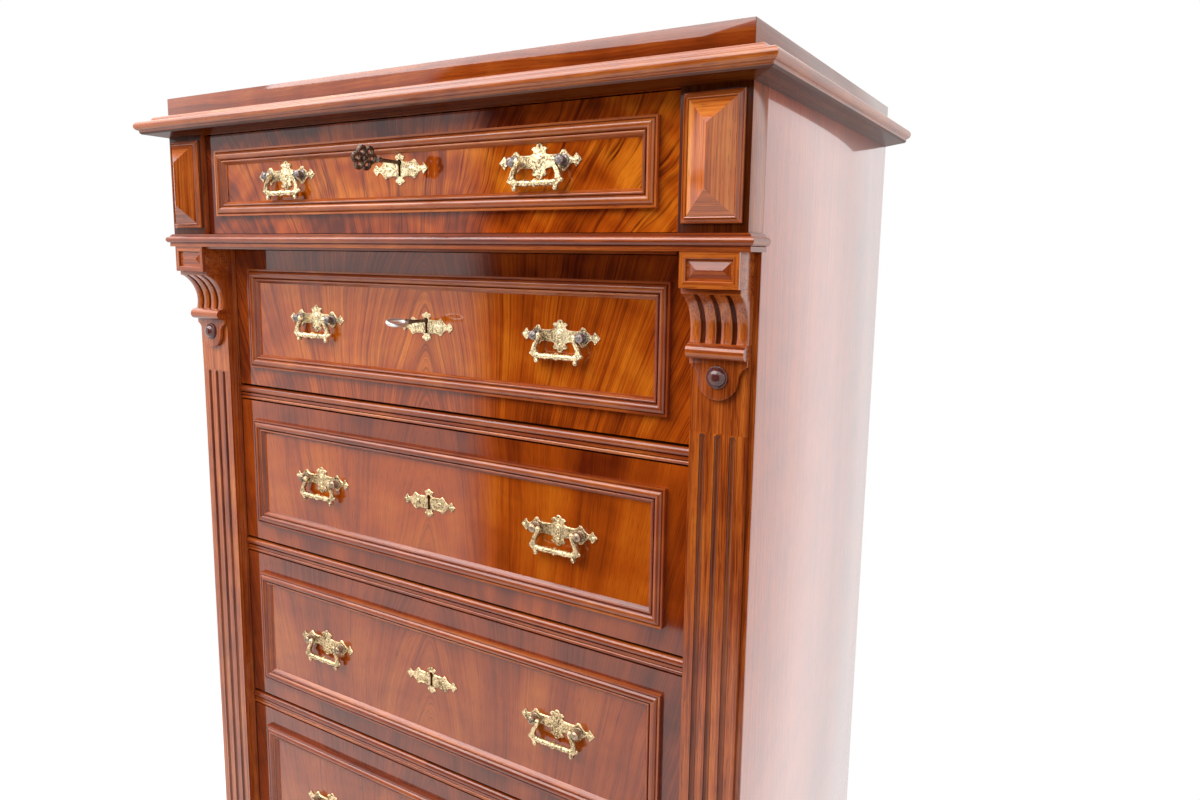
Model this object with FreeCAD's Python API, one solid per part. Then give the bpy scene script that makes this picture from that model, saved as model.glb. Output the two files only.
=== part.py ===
import FreeCAD, Part
import math
import os

V = FreeCAD.Vector

# A semainier: a tall chest of seven drawers, one for each day.  The upper
# drawer sits in a frieze that is carried forward on two corbels; the six
# lower drawers grow deeper towards the floor and slide between flat, fluted
# pilasters.  Millimetres, +Z up, the drawers open towards -Y, and the origin
# is the middle of the footprint at floor level.

# ---------------------------------------------------------------- case sizes
case_width = 690.0        # over the two side panels
case_depth = 383.0        # stile face to the back edge of the sides
side_t = 18.0             # side panels
stile_w = 53.25           # front stiles
stile_t = 24.0
foot_h = 45.0             # turned feet
foot_r = 27.0
foot_inset = 36.0         # foot axis in from the plinth's outer faces
plinth_h = 70.0
plinth_t = 16.0           # plinth facing boards
rail_h = 17.5             # front rails between drawers
rail_w = 64.0             # rails, front to back
rail_back = 9.6           # top arris of a rail behind the stile face
opening_2 = 156.0         # drawer openings, from the second down
opening_3 = 168.0
opening_4 = 179.0
opening_5 = 190.0
opening_6 = 201.0
opening_7 = 212.0
opening_1 = 106.5         # the frieze drawer's opening
waist_h = 16.0            # rail between drawers 1 and 2
frieze_proj = 29.0        # frieze plane in front of the stile face
header_h = 22.5           # board over the frieze drawer, cornice height
top_h = 20.2              # flat box on top of the cornice
top_board_w = 70.0        # mitred boards of the top
cornice_out = 26.0        # cornice tip beyond the frieze plane and the sides
back_t = 16.0             # framed back
back_lap = 9.0            # rebate in the sides for the back
back_stile_w = 70.0
back_rail_h = 85.0
back_panel_t = 8.0
runner_w = 64.0
guide_h = 28.0
dust_t = 6.0

# ---------------------------------------------------------------- drawers
front_t = 20.0            # drawer fronts
front_setback = 10.0      # lower fronts behind the stile face
front1_setback = 6.0      # frieze drawer front behind the frieze plane
front_gap = 0.8           # shadow gap round a drawer front
run_gap = 0.1             # drawer side over its runner
box_t = 10.0              # drawer sides and back
box_drop = 6.0            # drawer sides lower than the opening
box_back_gap = 6.0        # drawer box short of the framed back
bottom_t = 6.0
bottom_up = 7.0           # bottom board above the lower edge of the sides
groove_d = 5.0
lap_t = 6.0               # wood left in front of the half-blind dovetails
housing_d = 4.0           # drawer back let into the sides
tails = 3
tail_slope = math.tan(math.radians(9.0))
tail_share = 0.62         # width of a tail at its root as a share of the pitch
frame_w = 15.3            # applied frame moulding on the fronts
frame_h = 6.0
frame_side = 25.0         # frame in from the edges of the opening
frame_top = 22.0
frame1_side = 19.3        # the same for the frieze drawer
frame1_low = 19.5
frame1_high = 17.5

# ---------------------------------------------------------------- mouldings
waist_out = 7.0           # waist torus beyond the frieze plane and the sides
block_w = 48.5            # corner block frames, corbels and pilasters
block_h = 94.5
block_up = 7.0            # frame above the lower edge of the frieze opening
block_ring = 4.9
block_proud = 5.0
pyramid_proud = 15.5      # ridge of the pointed panel in front of the frieze
pyramid_base = 4.0
corbel_up = 2.4           # head of a corbel over the second opening
corbel_head = 27.6        # plain head of a corbel
corbel_fillet = 4.4
corbel_out = 32.0         # head in front of the stile face
corbel_step = 4.6         # hollow set back under the head
head_rim_x = 5.2          # rim round the sunk panel of the head
head_rim_z = 5.6
head_sunk = 2.5
lozenge_gap = 2.0
lozenge_proud = 0.4
corbel_scoop = 38.4       # height of the hollow
corbel_neck = 10.4        # thickness under the hollow
reed_w = 8.0
reeds = 4
reed_d = 2.4
band_lip = 0.8            # slope over the half-round band
band_h = 11.2             # half-round band under the hollow
band_out = 17.2
pendant_h = 32.7
pendant_t = 8.6
pendant_ear = 5.0
pendant_cove = 9.8
pendant_r = 17.0
pendant_boss_up = 1.4     # button over the middle of the round end
boss_r = 9.0
boss_out = 6.0
pilaster_t = 4.0
neck_t = 4.8              # plain block at the head of a pilaster
neck_h = 18.3
neck_cove = 9.0
flutes = 3
flute_w = 5.2
flute_pitch = 12.8
flute_d = 1.7
flute_margin = 10.0
base_h = 56.0             # pilaster base
base_t = 9.0

# ---------------------------------------------------------------- brasswork
handle_x = 157.5          # handle plates from the middle of the drawer
plate_up = 5.0            # plates above the middle of the frame moulding
plate_l = 83.5
plate_h = 29.5
plate_t = 1.4
post_x = 24.5             # posts from the middle of a plate
post_r = 3.6
post_l = 9.5
knob_l = 3.0              # rounded end of a post beyond its shank
pivot_out = 5.6           # bail axis in front of the plate
pin_r = 1.5
pin_gap = 0.1
pin_in = 3.0              # length of a bail pin inside its post
bail_gap = 0.3            # bail eye beside its post
bail_t = 3.4
bail_drop = 18.0          # grip below the axis
grip_r = 2.0
bead_r = 3.3
bead_l = 7.0
escutcheon_l = 68.5
escutcheon_h = 29.0
keyhole_up = 6.0          # keyhole circle above the middle of the plate
keyhole_r = 2.3
slot_w = 2.6
slot_down = 12.5          # slot below the middle of the circle
lock_w = 44.0
lock_d = 10.0             # lock case, front to back
lock_below = 16.0
lock_wall = 1.6
bolt_w = 18.0
bolt_t = 3.6
bolt_throw = 8.0
bolt_gap = 0.2
bolt_lift = 1.2           # bolt over the bit of the key
shank_r = 1.7
bit_l = 9.6
bit_t = 1.8
bit_d = 3.0
bit_room = 0.5            # bit behind the inner face of the lock plate
key1_out = 60.2           # tip of the upper key in front of its drawer front
key1_turn = 18.0          # upper key turned from upright
key1_bow = 21.0
key1_bow_l = 29.4
key1_lobe_r = 5.85
key2_turn = 90.0
key2_out = 54.0
key2_bow = 19.0
key2_bow_l = 30.0
ring_t = 3.2
key_overlap = 2.0         # shank let into the bow
collar_r = 3.1
collar_l = 2.2

# ---------------------------------------------------------------- fineness
arc_chords = 3            # chords in each arc of a moulding
turning_sides = 10        # facets round a turned piece
small_sides = 6           # the same for posts and grips
pin_sides = 4             # the same for pins
bow_sides = 6             # the same for the rounds of a key bow
round_chords = 4          # chords in the larger arcs of the corbels

# ---------------------------------------------------------------- profiles
# Each is given in shares of its projection (or radius) and its height.  A
# pair of points is an arc: a point on the way, then the end.
CORNICE = (
    (0.0, 0.0), (0.769, 0.133), (0.827, 0.2), ((0.846, 0.293), (0.908, 0.329)),
    ((1.0, 0.498), (0.731, 0.711)), (0.538, 0.756), (0.481, 0.844),
    ((0.438, 0.951), (0.346, 1.0)), (0.0, 1.0),
)
WAIST = (
    (0.0, 0.0), (0.529, 0.0), (0.529, 0.279), (0.429, 0.309),
    ((1.0, 0.574), (0.486, 0.824)), (0.486, 0.912), (0.314, 0.912), (0.314, 1.0),
    (0.0, 1.0),
)
RAIL = (
    (1.667, 0.0), (1.604, -0.069), (1.302, -0.103), ((0.781, -0.314), (1.198, -0.549)),
    (1.0, -0.571), (1.0, -0.72), (1.167, -0.754), ((0.938, -0.869), (1.167, -0.971)),
    (1.25, -1.0),
)
PLINTH = (
    (0.0, 0.0), (1.0, 0.0), (1.0, 0.714), (0.875, 0.714), (0.875, 0.757),
    ((0.825, 0.863), (0.625, 0.943)), (0.625, 1.0), (0.0, 1.0),
)
PILASTER_BASE = (
    (0.0, 0.0), (1.0, 0.0), (1.0, 0.643), (0.867, 0.661),
    ((1.067, 0.741), (0.867, 0.821)), ((0.622, 0.875), (0.556, 0.954)), (0.556, 1.0),
    (0.0, 1.0),
)
CORNER_FRAME = (
    (0.0, 0.0), (0.0, 0.4), (0.184, 0.56), (0.327, 0.44), (0.878, 1.0), (1.0, 0.92),
    (1.0, 0.0),
)
DRAWER_FRAME = (
    (0.0, 0.0), (0.0, 0.75), (0.118, 0.75), (0.157, 0.617), ((0.42, 1.0), (0.64, 0.567)),
    (0.68, 0.467), ((0.76, 0.667), (0.84, 0.467)), ((0.92, 0.24), (1.0, 0.0)),
)
CORBEL_BAND = (
    (0.0, 0.0), (0.605, 0.0), (0.709, -0.067), ((1.0, -0.417), (0.721, -1.0)), (0.0, -1.0),
)
BOSS = ((0.0, 1.0), (0.233, 1.0), (0.317, 0.844), ((0.8, 0.58), (1.0, 0.0)))
FOOT = (
    (0.0, 0.6), ((0.31, 1.0), (0.62, 0.62)), (0.7, 0.52), (0.8, 0.76), (1.0, 0.8),
)
HANDLE_PLATE = (
    (0.0, 1.0), (0.085, 0.68), (0.24, 0.38),
    (0.585, 0.60), (0.785, 0.15), (0.877, 0.385), (1.0, 0.0),
)
ESCUTCHEON = (
    (0.0, 1.0), (0.10, 0.68), (0.24, 0.39),
    (0.525, 0.58), (0.75, 0.15), (0.86, 0.385), (1.0, 0.0),
)
BAIL_ARM = (
    (0.0, 0.106), (-0.85, 0.106), (-0.47, -0.856), (-0.65, -1.056), (-0.47, -1.361),
    (0.47, -1.361), (0.59, -1.144), (1.88, -0.833), (0.76, -0.667), (0.0, -0.256),
)

# ---------------------------------------------------------------- places
half = case_width / 2.0
open_x = half - stile_w
y_stile = (key1_out + frieze_proj - front1_setback - case_depth) / 2.0
y_back = y_stile + case_depth
y_frieze = y_stile - frieze_proj
y_face = y_stile + front_setback
y_face1 = y_frieze + front1_setback
y_in = y_back - back_t
z_base = foot_h + plinth_h
post_in = open_x - 4.25 + front_gap      # inner face of the frieze posts
block_x = open_x + block_w / 2.0
openings = (opening_2, opening_3, opening_4, opening_5, opening_6, opening_7)


def opening_floor(number):
    """Height of the floor of a drawer opening, 1 at the top to 7."""
    below = openings[number - 1:] if number > 1 else openings
    floor = z_base + sum(below) + rail_h * len(below)
    if number == 1:
        floor += waist_h - rail_h
    return floor


z_waist = opening_floor(2) + opening_2
z_frieze = opening_floor(1)
z_soffit = z_frieze + opening_1
z_cornice = z_soffit + header_h
z_top = z_cornice + top_h


# ---------------------------------------------------------------- helpers
def box(x0, x1, y0, y1, z0, z1):
    """A box between the given limits."""
    return Part.makeBox(x1 - x0, y1 - y0, z1 - z0, V(x0, y0, z0))


def arc_points(a, b, c, steps):
    """Points after a on the arc from a through b to c."""
    (ax, ay), (bx, by), (cx, cy) = a, b, c
    d = 2.0 * (ax * (by - cy) + bx * (cy - ay) + cx * (ay - by))
    a2, b2, c2 = ax * ax + ay * ay, bx * bx + by * by, cx * cx + cy * cy
    ox = (a2 * (by - cy) + b2 * (cy - ay) + c2 * (ay - by)) / d
    oy = (a2 * (cx - bx) + b2 * (ax - cx) + c2 * (bx - ax)) / d
    r = math.hypot(ax - ox, ay - oy)
    first = math.atan2(ay - oy, ax - ox)
    last = math.atan2(cy - oy, cx - ox)
    through = math.atan2(by - oy, bx - ox)
    turn = (last - first) % (2.0 * math.pi)
    if (through - first) % (2.0 * math.pi) > turn:
        turn -= 2.0 * math.pi
    angles = [first + turn * i / steps for i in range(1, steps + 1)]
    return [(ox + r * math.cos(t), oy + r * math.sin(t)) for t in angles]


def flatten(path, steps):
    """The outline with each arc cut into the given number of chords."""
    points = [path[0]]
    for step in path[1:]:
        if isinstance(step[0], tuple):
            points += arc_points(points[-1], step[0], step[1], steps)
        else:
            points.append(step)
    return points


def scaled(profile, projection, height):
    """A profile table at its real size."""
    path = []
    for step in profile:
        if isinstance(step[0], tuple):
            path.append(tuple((u * projection, v * height) for u, v in step))
        else:
            path.append((step[0] * projection, step[1] * height))
    return path


def outline_face(path, place, steps=arc_chords):
    """A face from a closed outline; arcs are pairs of points, via and end."""
    points = [place(u, v) for u, v in flatten(path, steps)]
    kept = [p for i, p in enumerate(points) if p.distanceToPoint(points[i - 1]) > 1e-6]
    return Part.Face(Part.makePolygon(kept + [kept[0]]))


def run(path, start, along, out, up, length, grow0=0.0, grow1=0.0):
    """A straight length of moulding with square or mitred ends.

    The outline is given as (u, v): u along out, v along up.  Each end grows
    by its own factor times u: 1 for an outer mitre, -1 for an inner one.
    """
    points = flatten(path, arc_chords)
    u0 = min(p[0] for p in points)
    u1 = max(p[0] for p in points)
    v0 = min(p[1] for p in points) - 1.0
    v1 = max(p[1] for p in points) + 1.0
    reach = max(abs(u0), abs(u1)) + 1.0

    def place(u, v):
        return start - along * reach + out * u + up * v

    bar = outline_face(path, place).extrude(along * (length + 2.0 * reach))
    corners = [(-grow0 * u0, u0), (length + grow1 * u0, u0),
               (length + grow1 * u1, u1), (-grow0 * u1, u1)]
    quad = [start + along * s + out * u + up * v0 for s, u in corners]
    keep = Part.Face(Part.makePolygon(quad + [quad[0]]))
    keep = keep.extrude(up * (v1 - v0))
    return bar.common(keep).Solids[0]


def picture_frame(path, x0, x1, z0, z1, y):
    """Four mitred lengths round a rectangle; u runs inwards, v forwards."""
    X, Z, front = V(1, 0, 0), V(0, 0, 1), V(0, -1, 0)
    return [
        run(path, V(x0, y, z0), X, Z, front, x1 - x0, -1, -1),
        run(path, V(x0, y, z1), X, -Z, front, x1 - x0, -1, -1),
        run(path, V(x0, y, z0), Z, X, front, z1 - z0, -1, -1),
        run(path, V(x1, y, z0), Z, -X, front, z1 - z0, -1, -1),
    ]


def round_the_case(path, z, y_start, y_end):
    """A moulding across the front and back along both sides, mitred."""
    X, Y, Z = V(1, 0, 0), V(0, 1, 0), V(0, 0, 1)
    depth = y_end - y_start
    return [
        run(path, V(-half, y_start, z), X, -Y, Z, case_width, 1, 1),
        run(path, V(-half, y_start, z), Y, -X, Z, depth, 1, 0),
        run(path, V(half, y_start, z), Y, X, Z, depth, 1, 0),
    ]


def prism_yz(path, x0, x1, steps=arc_chords):
    """An outline in the YZ plane extruded from x0 to x1."""
    face = outline_face(path, lambda y, z: V(x0, y, z), steps)
    return face.extrude(V(x1 - x0, 0, 0))


def prism_xz(path, y0, y1, steps=arc_chords):
    """An outline in the XZ plane extruded from y0 to y1."""
    face = outline_face(path, lambda x, z: V(x, y0, z), steps)
    return face.extrude(V(0, y1 - y0, 0))


def turned(profile, origin, axis, across, sides=turning_sides):
    """A turned solid with flat facets, from (distance along, radius) rings."""
    third = axis.cross(across)
    rings = []
    for s, r in profile:
        centre = origin + axis * s
        if r < 1e-6:
            rings.append([centre])
            continue
        rings.append([centre + across * (r * math.cos(2.0 * math.pi * i / sides))
                      + third * (r * math.sin(2.0 * math.pi * i / sides))
                      for i in range(sides)])
    faces = []
    for end in (rings[0], rings[-1]):
        if len(end) > 1:
            faces.append(Part.Face(Part.makePolygon(end + [end[0]])))
    for low, high in zip(rings, rings[1:]):
        for i in range(sides):
            j = (i + 1) % sides
            corner = [low[i % len(low)], low[j % len(low)],
                      high[j % len(high)], high[i % len(high)]]
            ring = [p for k, p in enumerate(corner)
                    if p.distanceToPoint(corner[k - 1]) > 1e-6]
            faces.append(Part.Face(Part.makePolygon(ring + [ring[0]])))
    solid = Part.Solid(Part.Shell(faces))
    if solid.Volume < 0:
        solid.reverse()
    return solid


def hipped(x0, x1, z0, z1, y, rise):
    """A hipped panel: four slopes that meet in hips and a ridge."""
    slope = min(x1 - x0, z1 - z0) / 2.0
    low = [V(x0, y, z0), V(x1, y, z0), V(x1, y, z1), V(x0, y, z1)]
    if x1 - x0 < z1 - z0:
        a = V((x0 + x1) / 2.0, y - rise, z0 + slope)
        b = V((x0 + x1) / 2.0, y - rise, z1 - slope)
        rings = [low, [low[0], low[1], a], [low[2], low[3], b],
                 [low[1], low[2], b, a], [low[3], low[0], a, b]]
    else:
        a = V(x0 + slope, y - rise, (z0 + z1) / 2.0)
        b = V(x1 - slope, y - rise, (z0 + z1) / 2.0)
        rings = [low, [low[3], low[0], a], [low[1], low[2], b],
                 [low[0], low[1], b, a], [low[2], low[3], a, b]]
    faces = [Part.Face(Part.makePolygon(r + [r[0]])) for r in rings]
    solid = Part.Solid(Part.Shell(faces))
    if solid.Volume < 0:
        solid.reverse()
    return solid


def mirrored(shapes):
    """The same shapes on the other side of the case."""
    return [s.mirror(V(0, 0, 0), V(1, 0, 0)) for s in shapes]


def both_sides(shapes):
    """Shapes for the right hand, followed by the same for the left."""
    return list(shapes) + mirrored(shapes)


def save(name, shapes):
    """Write one piece of the chest, checking that its solids are sound."""
    solids = []
    for shape in shapes:
        solids.extend(shape.Solids)
    for solid in solids:
        if not solid.isValid() or solid.Volume <= 0:
            raise ValueError("bad solid in " + name)
    Part.makeCompound(solids).exportStep("parts/" + name + ".step")


# ---------------------------------------------------------------- the case
inside = half - side_t
runner_in = inside - runner_w
bolt_y = front_t - lock_d / 2.0          # bolt behind the face of its drawer


def drawer_face(number):
    """The plane of a drawer front."""
    return y_face1 if number == 1 else y_face


def bolt_mortise(number):
    """The socket for a drawer's bolt in the board above it."""
    y = drawer_face(number) + bolt_y
    z = opening_floor(number) + opening_height(number)
    reach = bolt_w / 2.0 + 2.0 * bolt_gap
    deep = bolt_throw + 2.0 * bolt_gap - front_gap
    thick = bolt_t / 2.0 + 2.0 * bolt_gap
    return box(-reach, reach, y - thick, y + thick, z - 1.0, z + deep)


def opening_height(number):
    """The height of a drawer opening."""
    return opening_1 if number == 1 else openings[number - 2]


def side_panel():
    """A side with its back rebate, and the front stile glued to it."""
    panel = box(inside, half, y_stile, y_back, foot_h, z_cornice)
    rebate = box(inside, inside + back_lap, y_in, y_back, foot_h, z_cornice)
    stile = box(open_x, inside, y_stile, y_stile + stile_t, foot_h, z_soffit)
    return [panel.cut(rebate), stile]


def framed_back():
    """Stiles, three rails and two panels, let into the rebates."""
    outer = inside + back_lap
    low = z_base - rail_h
    mid = (low + z_cornice - back_rail_h) / 2.0
    stile_in = outer - back_stile_w
    y_panel = y_in + (back_t - back_panel_t) / 2.0
    pieces = []
    panels = []
    for z0, z1 in ((low + back_rail_h, mid), (mid + back_rail_h, z_cornice - back_rail_h)):
        panels.append(box(-stile_in - groove_d, stile_in + groove_d, y_panel,
                          y_panel + back_panel_t, z0 - groove_d, z1 + groove_d))
    for z0 in (low, mid, z_cornice - back_rail_h):
        pieces.append(box(-stile_in, stile_in, y_in, y_back, z0, z0 + back_rail_h))
    stile = box(stile_in, outer, y_in, y_back, low, z_cornice)
    pieces.extend(both_sides([stile]))
    return [p.cut(panels[0]).cut(panels[1]) for p in pieces] + panels


def rails():
    """Moulded front rails, the plain bottom rail and the waist rail."""
    pieces = []
    for number in range(2, 7):
        z = opening_floor(number)
        path = [(rail_w, 0.0)] + scaled(RAIL, rail_back, rail_h) + [(rail_w, -rail_h)]
        rail = outline_face(path, lambda b, v: V(-open_x, y_stile + b, z + v))
        rail = rail.extrude(V(2.0 * open_x, 0, 0))
        pieces.append(rail.cut(bolt_mortise(number + 1)))
    pieces.append(box(-open_x, open_x, y_stile, y_stile + rail_w, z_base - rail_h, z_base))
    waist = box(-post_in, post_in, y_frieze, y_stile, z_waist, z_frieze)
    waist = waist.fuse(box(-open_x, open_x, y_stile, y_stile + rail_w, z_waist, z_frieze))
    pieces.append(waist.removeSplitter().cut(bolt_mortise(2)))
    return pieces


def runners():
    """A runner under each drawer side and a guide beside it."""
    pieces = []
    for number in range(1, 8):
        z = opening_floor(number)
        thick = waist_h if number == 1 else rail_h
        guide_in = post_in if number == 1 else open_x
        pieces.append(box(runner_in, inside, y_stile + rail_w, y_in, z - thick, z))
        pieces.append(box(guide_in, inside, y_stile + stile_t, y_in, z, z + guide_h))
    return both_sides(pieces)


def dust_boards():
    """Thin boards between the runners, and the bottom of the case."""
    pieces = []
    for number in range(1, 8):
        z = opening_floor(number) - rail_h / 2.0
        pieces.append(box(-runner_in, runner_in, y_stile + rail_w, y_in,
                          z - dust_t / 2.0, z + dust_t / 2.0))
    return pieces


def top_box():
    """Boards over the frieze drawer and the mitred flat top on the cornice."""
    header = box(-post_in, post_in, y_frieze, y_stile, z_soffit, z_cornice)
    pieces = [header.cut(bolt_mortise(1)),
              box(-inside, inside, y_stile, y_in, z_soffit, z_cornice)]
    X, Y, Z = V(1, 0, 0), V(0, 1, 0), V(0, 0, 1)
    path = [(0, 0), (top_board_w, 0), (top_board_w, top_h), (0, top_h)]
    depth = y_back - y_frieze
    corner = V(-half, y_frieze, z_cornice)
    pieces += [
        run(path, corner, X, Y, Z, case_width, -1, -1),
        run(path, V(-half, y_back, z_cornice), X, -Y, Z, case_width, -1, -1),
        run(path, corner, Y, X, Z, depth, -1, -1),
        run(path, V(half, y_frieze, z_cornice), Y, -X, Z, depth, -1, -1),
        box(-half + top_board_w, half - top_board_w, y_frieze + top_board_w,
            y_back - top_board_w, z_cornice, z_top),
    ]
    return pieces


def cornice():
    """Soffit, hollow, torus, quirk and a small ovolo under the top."""
    path = scaled(CORNICE, cornice_out, header_h)
    return round_the_case(path, z_soffit, y_frieze, y_back)


def waist_moulding():
    """Band, torus and step under the frieze, returned to the stiles."""
    path = scaled(WAIST, waist_out, waist_h - corbel_up)
    return round_the_case(path, z_waist + corbel_up, y_frieze, y_stile)


def corner_blocks():
    """Posts beside the frieze drawer with a small mitred frame on each."""
    post = box(post_in, half, y_frieze, y_stile, z_waist + corbel_up, z_cornice)
    path = scaled(CORNER_FRAME, block_ring, block_proud)
    low = z_frieze + block_up
    x0 = block_x - block_w / 2.0
    frame = picture_frame(path, x0, x0 + block_w, low, low + block_h, y_frieze)
    return both_sides([post] + frame)


def corner_pyramids():
    """The pointed hipped panels inside the corner frames."""
    low = z_frieze + block_up + block_ring
    high = low + block_h - 2.0 * block_ring
    x0 = block_x - block_w / 2.0 + block_ring
    x1 = x0 + block_w - 2.0 * block_ring
    y = y_frieze - pyramid_base
    plate = box(x0, x1, y, y_frieze, low, high)
    point = hipped(x0, x1, low, high, y, pyramid_proud - pyramid_base)
    return both_sides([plate.fuse(point)])


corbel_top = z_waist + corbel_up
scoop_top = corbel_top - corbel_head - corbel_fillet
scoop_low = scoop_top - corbel_scoop
band_low = scoop_low - band_lip - band_h
pendant_low = band_low - pendant_h
neck_low = pendant_low - neck_h


def corbels():
    """Scrolled brackets: head, reeded hollow, half-round band, pendant."""
    x0 = block_x - block_w / 2.0
    x1 = x0 + block_w
    head_low = corbel_top - corbel_head
    step = corbel_out - corbel_step

    def hollow(back):
        """The side outline of the hollow, set back from the reeds."""
        bend = corbel_neck + 0.25 * (step - corbel_neck)
        return [
            (y_stile, scoop_top), (y_stile - step + back, scoop_top),
            ((y_stile - bend + back, scoop_top - 0.29 * corbel_scoop),
             (y_stile - corbel_neck + back, scoop_low)),
            (y_stile, scoop_low),
        ]

    body = box(x0, x1, y_stile - corbel_out, y_stile, head_low, corbel_top)
    body = body.fuse(box(x0, x1, y_stile - step, y_stile, scoop_top, head_low))
    body = body.fuse(prism_yz(hollow(reed_d), x0, x1, round_chords))
    pitch = (block_w - reed_w) / (reeds - 1)
    for i in range(reeds):
        x = x0 + i * pitch
        body = body.fuse(prism_yz(hollow(0.0), x, x + reed_w, round_chords))
    band = outline_face(scaled(CORBEL_BAND, band_out, band_lip + band_h),
                        lambda u, v: V(x0, y_stile - u, scoop_low + v))
    body = body.fuse(band.extrude(V(block_w, 0, 0))).removeSplitter()
    px0, px1 = x0 + head_rim_x, x1 - head_rim_x
    pz0, pz1 = head_low + head_rim_z, corbel_top - head_rim_z
    y_head = y_stile - corbel_out
    body = body.cut(box(px0, px1, y_head, y_head + head_sunk, pz0, pz1))
    gap = lozenge_gap
    lozenge = hipped(px0 + gap, px1 - gap, pz0 + gap, pz1 - gap,
                     y_head + head_sunk, head_sunk + lozenge_proud)
    return both_sides([body.fuse(lozenge), pendant()])


def pendant():
    """The flat hanging plate under a corbel, with ears and a round end."""
    x = block_x
    w = block_w / 2.0
    r = pendant_r
    ear = band_low - pendant_ear
    cove = ear - pendant_cove
    bend = r + 0.36 * (w - r), ear - 0.35 * pendant_cove
    centre = pendant_low + r
    path = [
        (x - w, band_low), (x - w, ear), ((x - bend[0], bend[1]), (x - r, cove)),
        (x - r, centre), ((x, pendant_low), (x + r, centre)), (x + r, cove),
        ((x + bend[0], bend[1]), (x + w, ear)), (x + w, band_low),
    ]
    return prism_xz(path, y_stile - pendant_t, y_stile - neck_t, round_chords)


def bosses():
    """Turned buttons on the pendants."""
    profile = flatten(scaled(BOSS, boss_out, boss_r), arc_chords)
    centre = V(block_x, y_stile - pendant_t, pendant_low + pendant_r + pendant_boss_up)
    return both_sides([turned(profile, centre, V(0, -1, 0), V(1, 0, 0))])


def pilasters():
    """Flat shafts with round-ended flutes, on moulded bases."""
    x0 = block_x - block_w / 2.0
    x1 = x0 + block_w
    foot = z_base + base_h
    shaft = prism_yz([
        (y_stile, foot), (y_stile - pilaster_t, foot),
        (y_stile - pilaster_t, neck_low - neck_cove),
        ((y_stile - pilaster_t - 0.125 * (neck_t - pilaster_t),
          neck_low - 0.44 * neck_cove), (y_stile - neck_t, neck_low)),
        (y_stile - neck_t, band_low), (y_stile, band_low)], x0, x1)
    low = foot + flute_margin + flute_w / 2.0
    high = neck_low - flute_margin - flute_w / 2.0
    r = flute_w / 2.0
    hollow = [(low - r, 0.0), (low - 0.8 * r, 0.6 * r), (low, r),
              (high, r), (high + 0.8 * r, 0.6 * r), (high + r, 0.0)]
    for i in range(flutes):
        x = block_x + (i - (flutes - 1) / 2.0) * flute_pitch
        axis = V(x, y_stile - pilaster_t - r + flute_d, 0)
        shaft = shaft.cut(turned(hollow, axis, V(0, 0, 1), V(0, 1, 0)))
    base = outline_face(scaled(PILASTER_BASE, base_t, base_h),
                        lambda u, v: V(x0, y_stile - u, z_base + v))
    return both_sides([shaft, base.extrude(V(block_w, 0, 0))])


def plinth():
    """Moulded facing boards round the foot of the case."""
    path = scaled(PLINTH, plinth_t, plinth_h)
    pieces = round_the_case(path, foot_h, y_stile, y_back)
    pieces.append(box(-inside, inside, y_in, y_back, foot_h, z_base - rail_h))
    return pieces


def feet():
    """Four turned bun feet."""
    profile = flatten(scaled(FOOT, foot_h, foot_r), round_chords)
    x = half + plinth_t - foot_inset
    places = (y_stile - plinth_t + foot_inset, y_back - foot_inset)
    return both_sides([turned(profile, V(x, y, 0), V(0, 0, 1), V(1, 0, 0)) for y in places])


# ---------------------------------------------------------------- drawers
box_back = y_in - box_back_gap


def drawer_half(number):
    """Half the width of a drawer."""
    return (post_in if number == 1 else open_x) - front_gap


def front_limits(number):
    """Lower and upper edge of a drawer front."""
    floor = opening_floor(number)
    return floor + front_gap, floor + opening_height(number) - front_gap


def frame_limits(number):
    """Half width, lower and upper edge of the frame moulding."""
    floor = opening_floor(number)
    high = floor + opening_height(number)
    if number == 1:
        return post_in - frame1_side, floor + frame1_low, high - frame1_high
    return open_x - frame_side, floor + frame_top, high - frame_top


def plate_height(number):
    """Height of the middle of a drawer's brass plates."""
    _, low, high = frame_limits(number)
    return (low + high) / 2.0 + plate_up


def keyhole_height(number):
    """Height of the round part of a keyhole."""
    return plate_height(number) + keyhole_up


def tail_edge(y_root, y_tip, z0, z1):
    """The zigzag of dovetails up the end of a drawer side."""
    pitch = (z1 - z0) / tails
    narrow = tail_share * pitch / 2.0
    wide = narrow + tail_slope * abs(y_tip - y_root)
    points = []
    for i in range(tails):
        z = z0 + (i + 0.5) * pitch
        points += [(y_root, z - narrow), (y_tip, z - wide),
                   (y_tip, z + wide), (y_root, z + narrow)]
    return points


def drawer_sides(number):
    """The right and left sides, dovetailed in front and housing the back."""
    z0 = opening_floor(number) + run_gap
    z1 = opening_floor(number) + opening_height(number) - box_drop
    y_root = drawer_face(number) + front_t
    front = tail_edge(y_root, drawer_face(number) + lap_t, z0, z1)
    path = [(y_root, z0)] + front + [(y_root, z1), (box_back, z1), (box_back, z0)]
    w = drawer_half(number)
    side = prism_yz(path, w - box_t, w).cut(drawer_bottom(number))
    return both_sides([side.cut(drawer_back(number))])


def drawer_back(number):
    """The back board, over the bottom and let into the sides."""
    w = drawer_half(number) - box_t + housing_d
    z0 = opening_floor(number) + run_gap + bottom_up + bottom_t
    z1 = opening_floor(number) + opening_height(number) - box_drop
    y1 = box_back - box_t
    return box(-w, w, y1 - box_t, y1, z0, z1)


def drawer_bottom(number):
    """The bottom board, let into the sides and the front."""
    z = opening_floor(number) + run_gap + bottom_up
    w = drawer_half(number) - box_t + groove_d
    y0 = drawer_face(number) + front_t - groove_d
    return box(-w, w, y0, box_back, z, z + bottom_t)


def drawer_box(number):
    """Sides, back and bottom of a drawer."""
    return drawer_sides(number) + [drawer_back(number), drawer_bottom(number)]


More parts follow.
